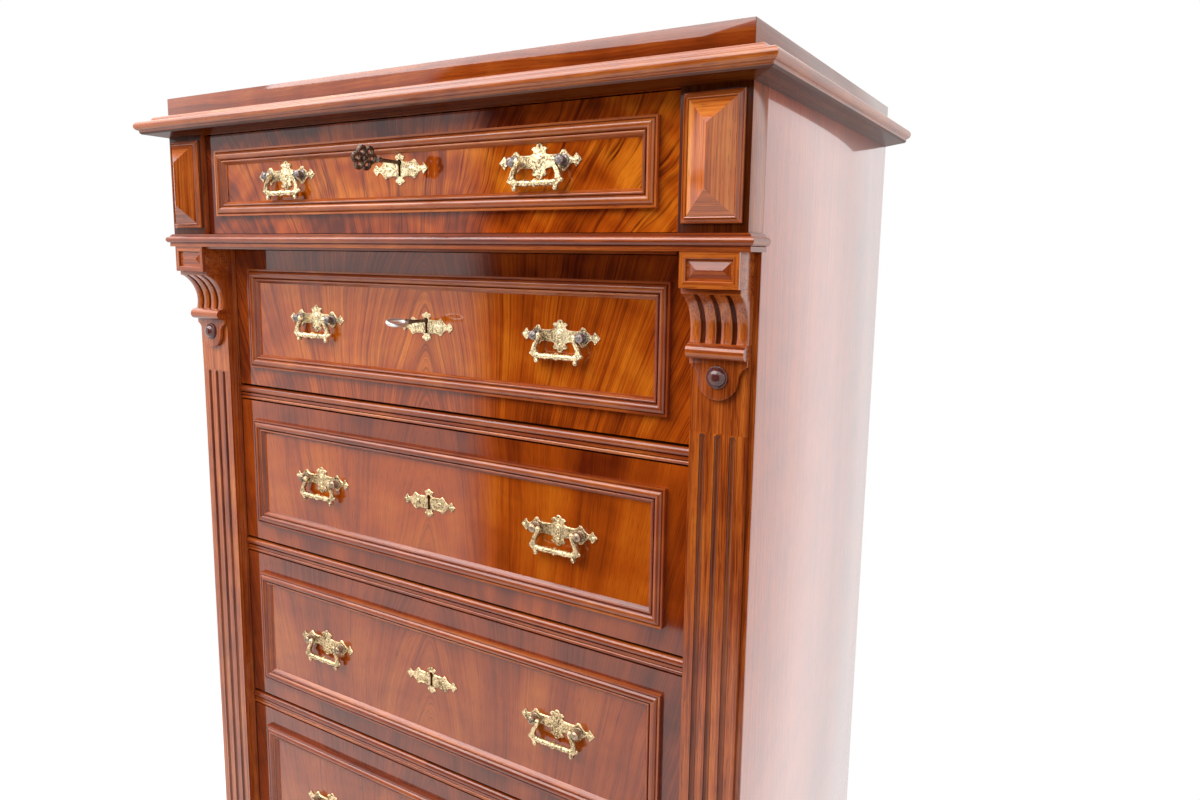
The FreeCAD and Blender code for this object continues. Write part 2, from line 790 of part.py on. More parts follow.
def lock_case(number):
    """Outer limits of a lock: half width, y limits, z limits."""
    y1 = drawer_face(number) + front_t
    z1 = front_limits(number)[1]
    return lock_w / 2.0, y1 - lock_d, y1, keyhole_height(number) - lock_below, z1


def drawer_front(number):
    """The front board, cut for its joints, lock and key, and its frame."""
    w = drawer_half(number)
    y = drawer_face(number)
    z0, z1 = front_limits(number)
    front = box(-w, w, y, y + front_t, z0, z1)
    for side in drawer_sides(number):
        front = front.cut(side)
    front = front.cut(drawer_bottom(number))
    lw, ly0, ly1, lz0, lz1 = lock_case(number)
    front = front.cut(box(-lw, lw, ly0, ly1, lz0, lz1))
    front = front.cut(keyhole(number, y - 1.0, ly0 + 1.0, 0.6))
    hx, low, high = frame_limits(number)
    moulding = scaled(DRAWER_FRAME, frame_w, frame_h)
    return [front] + picture_frame(moulding, -hx, hx, low, high, y)


# ---------------------------------------------------------------- brasswork
def keyhole(number, y0, y1, ease=0.0):
    """The keyhole: a round hole with a slot under it."""
    z = keyhole_height(number)
    r = keyhole_r + ease
    s = slot_w / 2.0 + ease
    rise = math.sqrt(r * r - s * s)
    low = z - slot_down - ease
    path = [(-s, low), (s, low), (s, z - rise), ((0.0, z + r), (-s, z - rise))]
    return prism_xz(path, y0, y1, round_chords)


def pierced_plate(quarter, length, height, x, y, z):
    """A cast plate from a quarter of its outline, in shares of its size."""
    right = [(u, v) for u, v in quarter]
    lower = [(u, -v) for u, v in reversed(quarter[:-1])]
    left = [(-u, v) for u, v in reversed((right + lower)[1:-1])]
    path = [(x + u * length / 2.0, z + v * height / 2.0) for u, v in right + lower + left]
    return prism_xz(path, y - plate_t, y)


def post(x, y, z, side):
    """A handle post with a socket for the bail on its inner side."""
    tip = post_l - knob_l
    profile = [(0.0, post_r), (tip, post_r), (post_l, 0.5 * post_r)]
    solid = turned(profile, V(x, y, z), V(0, -1, 0), V(0, 0, 1), small_sides)
    hole = pin_r + pin_gap
    deep = post_r - pin_in
    x0, x1 = sorted((x - side * (post_r + 1.0), x - side * (deep - pin_gap)))
    y_pin = y - pivot_out
    return solid.cut(box(x0, x1, y_pin - hole, y_pin + hole, z - hole, z + hole))


def lock(number):
    """An open-topped lock case that guides the bolt."""
    w, y0, y1, z0, z1 = lock_case(number)
    wall = lock_wall
    case = box(-w, w, y0, y1, z0, z1)
    room = box(-w + wall, w - wall, y0 + wall, y1 - wall, z0 + wall, z1 - wall)
    y_bolt = drawer_face(number) + bolt_y
    reach = bolt_w / 2.0 + bolt_gap
    thick = bolt_t / 2.0 + bolt_gap
    slot = box(-reach, reach, y_bolt - thick, y_bolt + thick, z1 - wall - 1.0, z1 + 1.0)
    return case.cut(room).cut(slot).cut(keyhole(number, y0 - 1.0, y0 + wall + 1.0))


def brasses(number):
    """Two handle plates with their posts, the escutcheon and the lock."""
    y = drawer_face(number)
    z = plate_height(number)
    right = [pierced_plate(HANDLE_PLATE, plate_l, plate_h, handle_x, y, z)]
    for side in (-1, 1):
        right.append(post(handle_x + side * post_x, y - plate_t, z, side))
    shield = pierced_plate(ESCUTCHEON, escutcheon_l, escutcheon_h, 0.0, y, z)
    shield = shield.cut(keyhole(number, y - plate_t - 1.0, y + 1.0))
    return both_sides(right) + [shield, lock(number)]


def bail(number, x):
    """A drop handle: slanting arms with ears and feet, and a turned grip."""
    y = drawer_face(number) - plate_t - pivot_out
    z = plate_height(number)
    eye = post_x - post_r - bail_gap
    drop = bail_drop
    arm = [(eye + u, v) for u, v in scaled(BAIL_ARM, bail_t, drop)]
    solid = None
    for side in (-1, 1):
        path = [(x + side * u, z + v) for u, v in arm]
        piece = prism_xz(path, y - bail_t / 2.0, y + bail_t / 2.0)
        reach = bail_gap + pin_in + 0.5
        pin = turned([(0.0, pin_r), (reach, pin_r)], V(x + side * (eye - 0.5), y, z),
                     V(side, 0, 0), V(0, 0, 1), pin_sides)
        piece = piece.fuse(pin)
        solid = piece if solid is None else solid.fuse(piece)
    reach = eye - 1.0
    profile = [(-reach, grip_r), (-bead_l / 2.0, grip_r), (0.0, bead_r),
               (bead_l / 2.0, grip_r), (reach, grip_r)]
    grip = turned(profile, V(x, y, z - drop), V(1, 0, 0), V(0, 0, 1), small_sides)
    return [solid.fuse(grip)]


def bolt(number):
    """The sliding bolt, drawn down into its case."""
    y = drawer_face(number) + bolt_y
    z1 = front_limits(number)[1] - bolt_gap
    z0 = keyhole_height(number) + bit_l + bolt_lift
    return [box(-bolt_w / 2.0, bolt_w / 2.0, y - bolt_t / 2.0, y + bolt_t / 2.0, z0, z1)]


def key_blank(number, out):
    """Shank and bit of a key whose shank starts at out before the front."""
    y = drawer_face(number)
    z = keyhole_height(number)
    y_bit = y + front_t - lock_d + lock_wall + bit_room
    shank = turned([(0.0, shank_r), (out + y_bit + bit_d - y, shank_r)],
                   V(0, y - out, z), V(0, 1, 0), V(1, 0, 0), small_sides)
    bit = box(-bit_t / 2.0, bit_t / 2.0, y_bit, y_bit + bit_d, z - bit_l, z)
    collar = turned([(0.0, collar_r), (collar_l, collar_r)],
                    V(0, y - out + key_overlap / 2.0, z), V(0, 1, 0), V(1, 0, 0), bow_sides)
    return shank.fuse(bit).fuse(collar)


def pierced_key(number):
    """The upper key: a cast bow of four pierced lobes round a boss."""
    r = key1_lobe_r
    across = key1_bow / 2.0 - r
    along = key1_bow_l / 2.0 - r
    y = drawer_face(number) - key1_out + key1_bow_l / 2.0
    z = keyhole_height(number)

    def disc(radius, thick, v, w):
        """A round of the bow, v along the shank and w across it."""
        ring = [(-thick / 2.0, radius), (thick / 2.0, radius)]
        return turned(ring, V(0, y + v, z + w), V(1, 0, 0), V(0, 0, 1), bow_sides)

    lobes = ((-along, 0.0), (along, 0.0), (0.0, across), (0.0, -across))
    bow = disc(0.5 * r, 1.3 * ring_t, 0.0, 0.0)
    for v, w in lobes:
        bow = bow.fuse(disc(r, ring_t, v, w))
    for v, w in lobes:
        bow = bow.cut(disc(0.42 * r, 2.0 * ring_t, v, w))
    key = key_blank(number, key1_out - key1_bow_l + key_overlap).fuse(bow)
    key.rotate(V(0, y, z), V(0, 1, 0), key1_turn)
    return [key]


def ring_key(number):
    """The lower key: an oval ring bow, turned to lie flat."""
    y = drawer_face(number) - key2_out + key2_bow_l / 2.0
    z = keyhole_height(number)

    def oval(a, b, thick):
        """An oval plate round the middle of the bow."""
        angles = [math.pi * i / bow_sides for i in range(2 * bow_sides)]
        points = [V(-thick / 2.0, y + a * math.cos(t), z + b * math.sin(t)) for t in angles]
        return Part.Face(Part.makePolygon(points + [points[0]])).extrude(V(thick, 0, 0))

    a, b = key2_bow_l / 2.0, key2_bow / 2.0
    ring = oval(a, b, ring_t).cut(oval(a - ring_t, b - ring_t, 2.0 * ring_t))
    key = key_blank(number, key2_out - key2_bow_l + key_overlap).fuse(ring)
    key.rotate(V(0, y, z), V(0, 1, 0), key2_turn)
    return [key]


os.makedirs("parts", exist_ok=True)
save("side_right", side_panel())
save("side_left", mirrored(side_panel()))
save("back_panels", framed_back())
save("top_box", top_box())
save("cornice", cornice())
save("corner_blocks", corner_blocks())
save("corner_pyramids", corner_pyramids())
save("waist_moulding", waist_moulding())
save("corbels", corbels())
save("bosses", bosses())
save("pilasters", pilasters())
save("rails", rails())
save("runners", runners())
save("dust_boards", dust_boards())
save("plinth", plinth())
save("feet", feet())
for n in range(1, 8):
    name = "drawer_%d" % n
    save(name + "_front", drawer_front(n))
    save(name + "_box", drawer_box(n))
    save(name + "_brass", brasses(n))
    save(name + "_bolt", bolt(n))
    save(name + "_bail_right", bail(n, handle_x))
    save(name + "_bail_left", bail(n, -handle_x))
save("key_1", pierced_key(1))
save("key_2", ring_key(2))
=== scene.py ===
"""Dresses the semainier: polished walnut, cast brass and the studio around it."""
import logging
import math
from dataclasses import dataclass, replace
from enum import Enum
from typing import Any, Callable, Optional, Sequence

import bmesh
import bpy
from mathutils import Matrix, Vector
from mathutils.geometry import tessellate_polygon


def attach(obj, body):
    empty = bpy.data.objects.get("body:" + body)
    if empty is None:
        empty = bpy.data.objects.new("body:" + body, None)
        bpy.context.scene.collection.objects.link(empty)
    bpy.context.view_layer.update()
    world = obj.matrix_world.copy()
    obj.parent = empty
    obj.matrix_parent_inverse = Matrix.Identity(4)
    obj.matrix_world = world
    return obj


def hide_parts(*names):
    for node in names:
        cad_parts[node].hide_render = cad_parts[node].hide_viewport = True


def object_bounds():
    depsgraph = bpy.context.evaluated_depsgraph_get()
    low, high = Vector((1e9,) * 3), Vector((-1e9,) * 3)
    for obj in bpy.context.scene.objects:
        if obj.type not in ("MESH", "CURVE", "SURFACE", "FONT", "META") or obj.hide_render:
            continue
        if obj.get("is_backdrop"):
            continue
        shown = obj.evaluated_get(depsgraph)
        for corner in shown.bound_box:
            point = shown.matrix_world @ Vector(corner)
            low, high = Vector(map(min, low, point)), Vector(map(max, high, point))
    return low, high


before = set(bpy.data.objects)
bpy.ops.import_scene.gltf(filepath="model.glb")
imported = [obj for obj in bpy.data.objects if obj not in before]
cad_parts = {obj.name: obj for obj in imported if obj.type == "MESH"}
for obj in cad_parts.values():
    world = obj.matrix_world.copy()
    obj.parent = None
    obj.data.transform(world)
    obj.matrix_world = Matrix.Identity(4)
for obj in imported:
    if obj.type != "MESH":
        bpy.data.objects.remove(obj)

logging.basicConfig(level=logging.INFO, format="%(levelname)s %(message)s")
LOG = logging.getLogger("semainier")
CAD_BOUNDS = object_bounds()
MM = 0.001
# In millimetres: corners this close merge, and the smallest radius of a turned piece.
MERGE, THIN = 1e-4, 0.02
# In degrees: sharper edges stay crisp, on pointed panels and on cast metal.
CRISP, METAL = 8.0, 40.0
X, Y, Z = Vector((1, 0, 0)), Vector((0, 1, 0)), Vector((0, 0, 1))
WHITE = (1.0, 1.0, 1.0)
SIDES = ((-1, "left"), (1, "right"))
Point = tuple[float, float]
Colour = tuple[float, float, float]
Face = tuple[int, ...]


# ------------------------------------------------------------------ shader kit
def operator(kind: str, swapped: bool = False) -> Callable[["Wire", Any], "Wire"]:
    """Make the method behind one sign of arithmetic."""
    def apply(self: "Wire", other: Any) -> "Wire":
        """Add a Math node and return its result."""
        return self.graph.maths(kind, *((other, self) if swapped else (self, other)))
    return apply


class Wire:
    """A socket that takes part in arithmetic."""

    def __init__(self, graph: "Graph", socket: bpy.types.NodeSocket) -> None:
        """Wrap a socket of the given graph."""
        self.graph, self.socket = graph, socket

    __add__ = __radd__ = operator("ADD")
    __sub__, __rsub__ = operator("SUBTRACT"), operator("SUBTRACT", True)
    __mul__ = __rmul__ = operator("MULTIPLY")
    __truediv__, __pow__ = operator("DIVIDE"), operator("POWER")


class Graph:
    """Builds a node tree; every node comes from one method."""

    def __init__(self, tree: bpy.types.NodeTree) -> None:
        """Empty the tree and keep it."""
        self.tree = tree
        tree.nodes.clear()

    def node(self, kind: str, settings: Optional[dict[str, Any]] = None,
             inputs: Optional[dict[Any, Any]] = None) -> bpy.types.Node:
        """Add a node.

        Args:
            kind: The node's type name.
            settings: Properties set first; "stops" fills a colour ramp.
            inputs: Values, or nodes and wires to link, by socket name or number.

        Returns:
            The new node.
        """
        made = self.tree.nodes.new(kind)
        for key, value in (settings or {}).items():
            if key != "stops":
                setattr(made, key, value)
                continue
            ramp = made.color_ramp.elements
            while len(ramp) < len(value):
                ramp.new(0.5)
            for element, (place, shade) in zip(ramp, value):
                element.position, element.color = place, (*shade, 1.0)
        for key, value in (inputs or {}).items():
            socket = made.inputs[key]
            if isinstance(value, (Wire, bpy.types.Node)):
                link = value.socket if isinstance(value, Wire) else value.outputs[0]
                self.tree.links.new(link, socket)
            else:
                socket.default_value = (*value, 1.0) if socket.type == "RGBA" else value
        return made

    def wire(self, kind: str, settings: Optional[dict[str, Any]] = None,
             inputs: Optional[dict[Any, Any]] = None, out: Any = 0) -> Wire:
        """Add a node and return one of its outputs."""
        return Wire(self, self.node(kind, settings, inputs).outputs[out])

    def maths(self, kind: str, *values: Any) -> Wire:
        """Add a Math node and return its result."""
        return self.wire("ShaderNodeMath", {"operation": kind}, dict(enumerate(values)))

    def smooth(self, value: Any, low: float, high: float) -> Wire:
        """Ease a value from 0 at low to 1 at high."""
        return self.wire("ShaderNodeMapRange", {"interpolation_type": "SMOOTHSTEP"},
                         {"Value": value, "From Min": low, "From Max": high})

    def hollow(self, width: float) -> Wire:
        """How deep in a quirk or corner a place lies, from 0 to 1."""
        return self.smooth(self.wire("ShaderNodeAmbientOcclusion", {"samples": 6},
                                     {"Distance": width}, "AO"), 0.70, 0.22)

    def mix(self, factor: Any, first: Any, second: Any) -> Wire:
        """Mix two colours by a factor."""
        return self.wire("ShaderNodeMix", {"data_type": "RGBA"},
                         {0: factor, 6: first, 7: second}, 2)

    def vector(self, *values: Any) -> Wire:
        """Join three values into a vector."""
        return self.wire("ShaderNodeCombineXYZ", None, dict(enumerate(values)))

    def split(self, vector: Wire) -> tuple[Wire, ...]:
        """Split a vector into its three values."""
        made = self.node("ShaderNodeSeparateXYZ", None, {0: vector})
        return tuple(Wire(self, s) for s in made.outputs)

    def attribute(self, name: str, out: str = "Fac") -> Wire:
        """Read an attribute of the mesh."""
        return self.wire("ShaderNodeAttribute", {"attribute_name": name}, None, out)

    def noise(self, vector: Wire, scale: float = 1.0, detail: float = 2.0,
              rough: float = 0.5) -> Wire:
        """Smooth noise between 0 and 1."""
        return self.wire("ShaderNodeTexNoise", None, {
            "Vector": vector, "Scale": scale, "Detail": detail, "Roughness": rough})

    def rays(self) -> tuple[Wire, Wire]:
        """Whether a ray comes from the camera, and whether from a mirroring surface."""
        path = self.node("ShaderNodeLightPath").outputs
        return Wire(self, path["Is Camera Ray"]), Wire(self, path["Is Glossy Ray"])


class Coords(Enum):
    """Where a timber's grain direction comes from."""

    GRAIN = "grain"
    ALONG_X = "x"
    ALONG_Z = "z"
    BOX = "box"


@dataclass(frozen=True)
class Finish:
    """A surface finish; the subclasses fill in its nodes."""

    name: str

    def build(self) -> bpy.types.Material:
        """Make the material once and return it."""
        known = bpy.data.materials.get(self.name)
        if known is not None:
            return known
        material = bpy.data.materials.new(self.name)
        material.use_nodes = True
        graph = Graph(material.node_tree)
        graph.node("ShaderNodeOutputMaterial", None, {0: self.surface(graph)})
        return material

    def surface(self, graph: Graph) -> bpy.types.Node:
        """Return the surface shader."""
        raise NotImplementedError


@dataclass(frozen=True)
class Timber(Finish):
    """Polished or bare wood with growth bands, dark veins and pores."""

    dark: Colour = (0.120, 0.012, 0.001)
    mid: Colour = (0.430, 0.070, 0.003)
    light: Colour = (0.720, 0.190, 0.010)
    coords: Coords = Coords.GRAIN
    ends: float = 0.2772
    bands: float = 34.0
    depth: float = 0.5
    tone: float = 0.0
    stroke: float = 1.5
    wave: float = 0.0015
    # Painted shade, partly wax: how dark the corners found by ambient occlusion are painted.
    wax_and_shade: float = 0.85
    arch: float = 0.0
    lines: float = 0.5
    streaks: float = 300.0
    veins: float = 30.0
    vein: float = 0.5
    figure: float = 0.03
    glow: float = 0.3
    fan: float = 0.0
    polish: float = 1.0
    rough: float = 0.42
    coat_rough: float = 0.05
    gloss: float = 0.0
    pores: float = 0.5
    relief: float = 0.10
    field: Point = (0.0, 0.0)
    margin: float = 0.13
    drift: float = 0.0

    def place(self, graph: Graph) -> tuple[Wire, ...]:
        """Coordinates along the grain, across it and through the board."""
        if self.coords is not Coords.GRAIN:
            x, y, z = graph.split(graph.wire("ShaderNodeTexCoord", out="Object"))
            if self.coords is not Coords.BOX:
                return (x, z, y) if self.coords is Coords.ALONG_X else (z, x, y)
            turned = graph.smooth(graph.maths("ABSOLUTE", x), self.ends - 0.0005,
                                  self.ends + 0.0005)
            return x + turned * (y - x), z, y + turned * (x - y)
        along, across, deep = graph.split(graph.attribute("grain", "Vector"))
        if self.fan <= 0.0:
            return along, across, deep
        height = across + self.fan
        side = graph.maths("ARCTAN2", along, height) * self.fan
        if self.arch > 0.0:
            near = graph.maths("EXPONENT", side * side * -90.0)
            side = ((side * side + 0.00003) ** 0.5 + side * 0.3
                    + across * near * self.arch)
        return (along * along + height * height) ** 0.5, side, deep

    def surface(self, graph: Graph) -> bpy.types.Node:
        """Growth bands, veins and pores under a clear polish."""
        along, across, deep = self.place(graph)

        def grown(length: float, width: float, detail: float, rough: float = 0.55,
                  depth: Optional[float] = None) -> Wire:
            """Noise drawn out along the grain."""
            place = graph.vector(along * length, across * width, deep * (depth or width))
            return graph.noise(place, 1.0, detail, rough)

        across = (across + (grown(3.0, 9.0, 3.0, 0.5, 5.0) - 0.5) * self.figure
                  + (grown(26.0, 30.0, 1.0, 0.5, 20.0) - 0.5) * self.wave)
        wide = grown(self.stroke, self.bands, 3.0)
        lines = grown(4.0, self.streaks, 3.0, 0.6)
        sheen = grown(24.0, 14.0, 2.0, 0.5, 9.0)
        value = ((wide - 0.5) * self.depth + (lines - 0.5) * self.lines
                 + (sheen - 0.5) * self.glow + (0.5 + self.tone))
        if self.field[0] > 0.0:
            spot = graph.split(graph.attribute("grain", "Vector"))
            beyond = [graph.smooth(graph.maths("ABSOLUTE", part), edge - 0.002, edge + 0.002)
                      for part, edge in zip(spot, self.field)]
            value = value - graph.maths("MAXIMUM", *beyond) * self.margin
            value = value + spot[0] * self.drift
        stops = [(0.26, self.dark), (0.50, self.mid), (0.76, self.light)]
        colour = graph.wire("ShaderNodeValToRGB", {"stops": stops}, {0: value})
        rings = graph.maths("ABSOLUTE", grown(self.stroke, self.veins, 2.0) - 0.5)
        second = graph.maths("ABSOLUTE", grown(self.stroke * 1.6, self.veins * 2.3, 1.0)
                             - 0.46)
        ring = (1.0 - graph.smooth(rings, 0.004, 0.045)
                + (1.0 - graph.smooth(second, 0.003, 0.05)) * 0.45)
        broken = graph.smooth(wide * 0.5 + lines * 0.5, 0.62, 0.40)
        pore = graph.smooth(grown(70.0, 1900.0, 1.0), 0.58, 0.70) * self.pores
        # Painted shade, partly wax: corners found by ambient occlusion, and places given painted
        # shade, are mixed towards the dark colour and lose some coat.
        hollow = graph.maths("MAXIMUM", graph.hollow(0.005) * self.wax_and_shade,
                             graph.attribute("soil"))
        for share, shade in ((ring * broken * self.vein, 1.0), (pore, 0.5), (hollow, 0.22)):
            colour = graph.mix(share, colour, tuple(c * shade for c in self.dark))
        bump = graph.node("ShaderNodeBump", None, {
            "Strength": self.relief, "Distance": 0.0003, "Height": lines * 0.4 - pore * 0.8})
        return graph.node("ShaderNodeBsdfPrincipled", None, {
            "Base Color": colour, "Roughness": self.rough + (lines - 0.5) * 0.12,
            "Normal": bump, "Coat Weight": (1.0 - hollow * 0.7) * self.polish,
            "Coat Roughness": self.coat_rough, "Coat IOR": 1.5,
            "Specular IOR Level": self.gloss})


@dataclass(frozen=True)
class CastMetal(Finish):
    """Cast metal: bright on the high places and dull in the hollows."""

    high: Colour = (0.96, 0.80, 0.50)
    low: Colour = (0.16, 0.09, 0.042)
    rough: float = 0.36
    grit: float = 0.9
    scale: float = 640.0
    patina: float = 0.9

    def surface(self, graph: Graph) -> bpy.types.Node:
        """A metal with patina that gathers where the casting is rough."""
        place = graph.wire("ShaderNodeTexCoord", out="Object")
        spots = graph.noise(place, self.scale, 3.0, 0.6)
        cloud = graph.noise(place, self.scale * 0.16, 2.0)
        worn = (graph.smooth(spots * 0.7 + cloud * 0.3, 0.36, 0.58)
                * (1.0 - graph.hollow(0.003) * self.patina))
        bump = graph.node("ShaderNodeBump", None, {
            "Strength": self.grit, "Distance": 0.0005, "Height": spots})
        return graph.node("ShaderNodeBsdfPrincipled", None, {
            "Base Color": graph.mix(worn, self.low, self.high), "Metallic": 1.0,
            "Normal": bump, "Roughness": self.rough + (1.0 - worn) * 0.22})


@dataclass(frozen=True)
class Paper(Finish):
    """The studio's white floor."""

    shade: float = 0.60
    lift: float = 0.74
    mirror: float = 1.15

    def surface(self, graph: Graph) -> bpy.types.Node:
        """Matt white that keeps a shadow, a little lighter to the camera."""
        seen, mirrored = graph.rays()
        matt = graph.node("ShaderNodeBsdfDiffuse", None, {"Color": (self.shade,) * 3})
        glow = graph.node("ShaderNodeEmission", None, {
            "Color": WHITE, "Strength": seen * self.lift + mirrored * self.mirror})
        return graph.node("ShaderNodeAddShader", None, {0: matt, 1: glow})


# ------------------------------------------------------------------ mesh kit
def arc_points(a: Point, b: Point, c: Point, steps: int) -> list[Point]:
    """Points after a on the arc that runs from a through b to c, which is the last.

    Args:
        a: Start of the arc.
        b: A point that the arc passes through.
        c: End of the arc.
        steps: How many points to give.

    Returns:
        The points.
    """
    (ax, ay), (bx, by), (cx, cy) = a, b, c
    d = 2.0 * (ax * (by - cy) + bx * (cy - ay) + cx * (ay - by))
    a2, b2, c2 = ax * ax + ay * ay, bx * bx + by * by, cx * cx + cy * cy
    ox = (a2 * (by - cy) + b2 * (cy - ay) + c2 * (ay - by)) / d
    oy = (a2 * (cx - bx) + b2 * (ax - cx) + c2 * (bx - ax)) / d
    r = math.hypot(ax - ox, ay - oy)
    first = math.atan2(ay - oy, ax - ox)
    turn = (math.atan2(cy - oy, cx - ox) - first) % math.tau
    if (math.atan2(by - oy, bx - ox) - first) % math.tau > turn:
        turn -= math.tau
    angles = [first + turn * i / steps for i in range(1, steps + 1)]
    return [(ox + r * math.cos(t), oy + r * math.sin(t)) for t in angles]


def flatten(path: Sequence[Any], steps: int = 9) -> list[Point]:
    """An outline with each arc, given as (via, end), cut into chords."""
    points: list[Point] = [path[0]]
    for step in path[1:]:
        points += arc_points(points[-1], *step, steps) if isinstance(step[0], tuple) else [step]
    return points


def oval(centre: Vector, u: Vector, v: Vector, count: int) -> list[Vector]:
    """Points round a centre, on an oval with the half axes u and v."""
    return [centre + u * math.cos(math.tau * i / count) + v * math.sin(math.tau * i / count)
            for i in range(count)]


@dataclass(frozen=True)
class Grain:
    """How the figure of the wood lies in one piece."""

    along: Vector = X
    across: Vector = Z
    centre: Vector = Vector((0.0, 0.0, 0.0))
    shift: float = 0.0

    def at(self, place: Vector) -> tuple[float, float, float]:
        """Grain coordinates in metres of a place in millimetres."""
        p = (place - self.centre) * MM
        deep = self.along.cross(self.across)
        return (p.dot(self.along), p.dot(self.across), p.dot(deep) + self.shift)

    def moved(self, shift: float) -> "Grain":
        """The same lie with another stretch of the figure."""
        return replace(self, shift=self.shift + shift)


LEVEL, UPRIGHT = Grain(X, Z), Grain(Z, X)


class Stock:
    """Solid pieces, in millimetres, that end up as one object."""

    def __init__(self, name: str) -> None:
        """Start with nothing."""
        self.name = name
        self.verts: list[Vector] = []
        self.grain: list[tuple[float, float, float]] = []
        # Painted shade per corner, from 0 to 1.
        self.soil: dict[int, float] = {}
        self.faces: list[Face] = []

    def keep(self, verts: Sequence[Vector], faces: Sequence[Sequence[int]],
             grain: Grain) -> "Stock":
        """Take in finished corners and faces."""
        base = len(self.verts)
        self.verts += [v.copy() for v in verts]
        self.grain += [grain.at(v) for v in verts]
        self.faces += [tuple(base + i for i in f) for f in faces]
        return self

    def add(self, verts: Sequence[Vector], faces: Sequence[Sequence[int]],
            grain: Grain = LEVEL, bevel: float = 0.0, angle: float = 32.0) -> "Stock":
        """Add a closed piece.

        Args:
            verts: Its corners in millimetres.
            faces: Its faces.
            grain: How its figure lies.
            bevel: Width of the worn arris, or 0 for none.
            angle: Edges sharper than this, in degrees, are worn.

        Returns:
            The stock itself.
        """
        work = bmesh.new()
        made = [work.verts.new(v) for v in verts]
        for face in faces:
            ring = [made[i] for k, i in enumerate(face) if i != face[k - 1]]
            if len(ring) > 2:
                work.faces.new(ring)
        bmesh.ops.remove_doubles(work, verts=work.verts, dist=MERGE)
        bmesh.ops.recalc_face_normals(work, faces=work.faces)
        if bevel > 0.0:
            edges = [e for e in work.edges
                     if e.is_manifold and e.calc_face_angle() > math.radians(angle)]
            bmesh.ops.bevel(work, geom=edges, offset=bevel, segments=2, profile=0.6,
                            affect="EDGES", clamp_overlap=True)
        work.verts.index_update()
        self.keep([v.co for v in work.verts],
                  [[v.index for v in f.verts] for f in work.faces], grain)
        work.free()
        return self

    def mesh(self, made: bpy.types.Mesh, grain: Grain = LEVEL) -> "Stock":
        """Add a finished mesh in millimetres and drop its data block."""
        self.keep([v.co for v in made.vertices], [f.vertices for f in made.polygons], grain)
        bpy.data.meshes.remove(made)
        return self

    def paint_shade(self, amount: float, where: Callable[[Vector], bool], first: int = 0) -> None:
        """Paint shade on the corners, from the first one given on, that pass a test."""
        for index in range(first, len(self.verts)):
            if where(self.verts[index]):
                self.soil[index] = amount

    def block(self, low: Sequence[float], high: Sequence[float], grain: Grain = LEVEL,
              bevel: float = 0.35) -> "Stock":
        """Add a rectangular board between two corners."""
        corners = [Vector((x, y, z)) for x in (low[0], high[0]) for y in (low[1], high[1])
                   for z in (low[2], high[2])]
        faces = [(0, 1, 3, 2), (4, 6, 7, 5), (0, 4, 5, 1), (2, 3, 7, 6), (0, 2, 6, 4),
                 (1, 5, 7, 3)]
        return self.add(corners, faces, grain, bevel)

    def loft(self, rings: Sequence[Sequence[Vector]], grain: Grain = LEVEL,
             bevel: float = 0.0, closed: bool = False) -> "Stock":
        """Add the skin over rings of equal size, capped unless it closes on itself."""
        count, total = len(rings[0]), len(rings)
        faces: list[Face] = []
        for k in range(total if closed else total - 1):
            a, b = k * count, ((k + 1) % total) * count
            faces += [(a + i, a + (i + 1) % count, b + (i + 1) % count, b + i)
                      for i in range(count)]
        if not closed:
            faces += [tuple(range(count)), tuple(range((total - 1) * count, total * count))]
        return self.add([v for ring in rings for v in ring], faces, grain, bevel)

    def run(self, path: Sequence[Any], start: Vector, along: Vector, out: Vector,
            up: Vector, length: float, grow0: float = 0.0, grow1: float = 0.0,
            shift: float = 0.0, bevel: float = 0.0) -> "Stock":
        """Add a straight length of moulding with square or mitred ends.

        Args:
            path: Its section as (u, v): u along out, v along up.
            start: Where the section's origin starts.
            along: Direction of the length.
            out: Direction of u.
            up: Direction of v.
            length: Length at u = 0.
            grow0: How much further the start reaches per unit of u.
            grow1: The same for the end.
            shift: Another stretch of the figure.
            bevel: Width of the worn arrises.

        Returns:
            The stock itself.
        """
        rings = [[start + along * (reach + grow * u) + out * u + up * v
                  for u, v in flatten(path)] for reach, grow in ((0.0, -grow0), (length, grow1))]
        return self.loft(rings, Grain(along, up, start, shift), bevel)

    def surround(self, path: Sequence[Any], low: Point, high: Point, y: float,
                 shift: float, step: float = 0.0, squash: float = 1.0) -> "Stock":
        """Add a mitred frame that lies inside a rectangle on a front.

        Args:
            path: Its section: u inwards from the rectangle, v out from the front.
            low: Lower left corner as (x, z).
            high: Upper right corner as (x, z).
            y: The plane of the front.
            shift: Another stretch of the figure.
            step: How much further each next side shifts.
            squash: Width of the level sides beside that of the upright ones.

        Returns:
            The stock itself.
        """
        (x0, z0), (x1, z1) = low, high
        flat = [(u * squash, v) for u, v in flatten(path)]
        for k, (x, z, along, out, length) in enumerate((
                (x0, z0, X, Z, x1 - x0), (x0, z1, X, -Z, x1 - x0),
                (x0, z0, Z, X, z1 - z0), (x1, z0, Z, -X, z1 - z0))):
            grow = -1.0 / squash if k < 2 else -squash
            self.run(flat if k < 2 else path, Vector((x, y, z)), along, out, -Y, length,
                     grow, grow, shift + step * k)
        return self

    def extrude(self, path: Sequence[Any], axis: int, start: float, length: float,
                grain: Grain = UPRIGHT, bevel: float = 0.0, steps: int = 9) -> "Stock":
        """Add an outline in the other two coordinates, pushed along an axis (0 to 2)."""
        return self.loft([[Vector((*p[:axis], at, *p[axis:])) for p in flatten(path, steps)]
                          for at in (start, start + length)], grain, bevel)

    def lathe(self, profile: Sequence[Any], origin: Vector, axis: Vector, side: Vector,
              grain: Grain = UPRIGHT, around: int = 32, steps: int = 7) -> "Stock":
        """Add a turned piece from (distance along, radius) points."""
        third = axis.cross(side)
        return self.loft([oval(origin + axis * s, side * max(r, THIN), third * max(r, THIN),
                               around) for s, r in flatten(profile, steps)], grain)

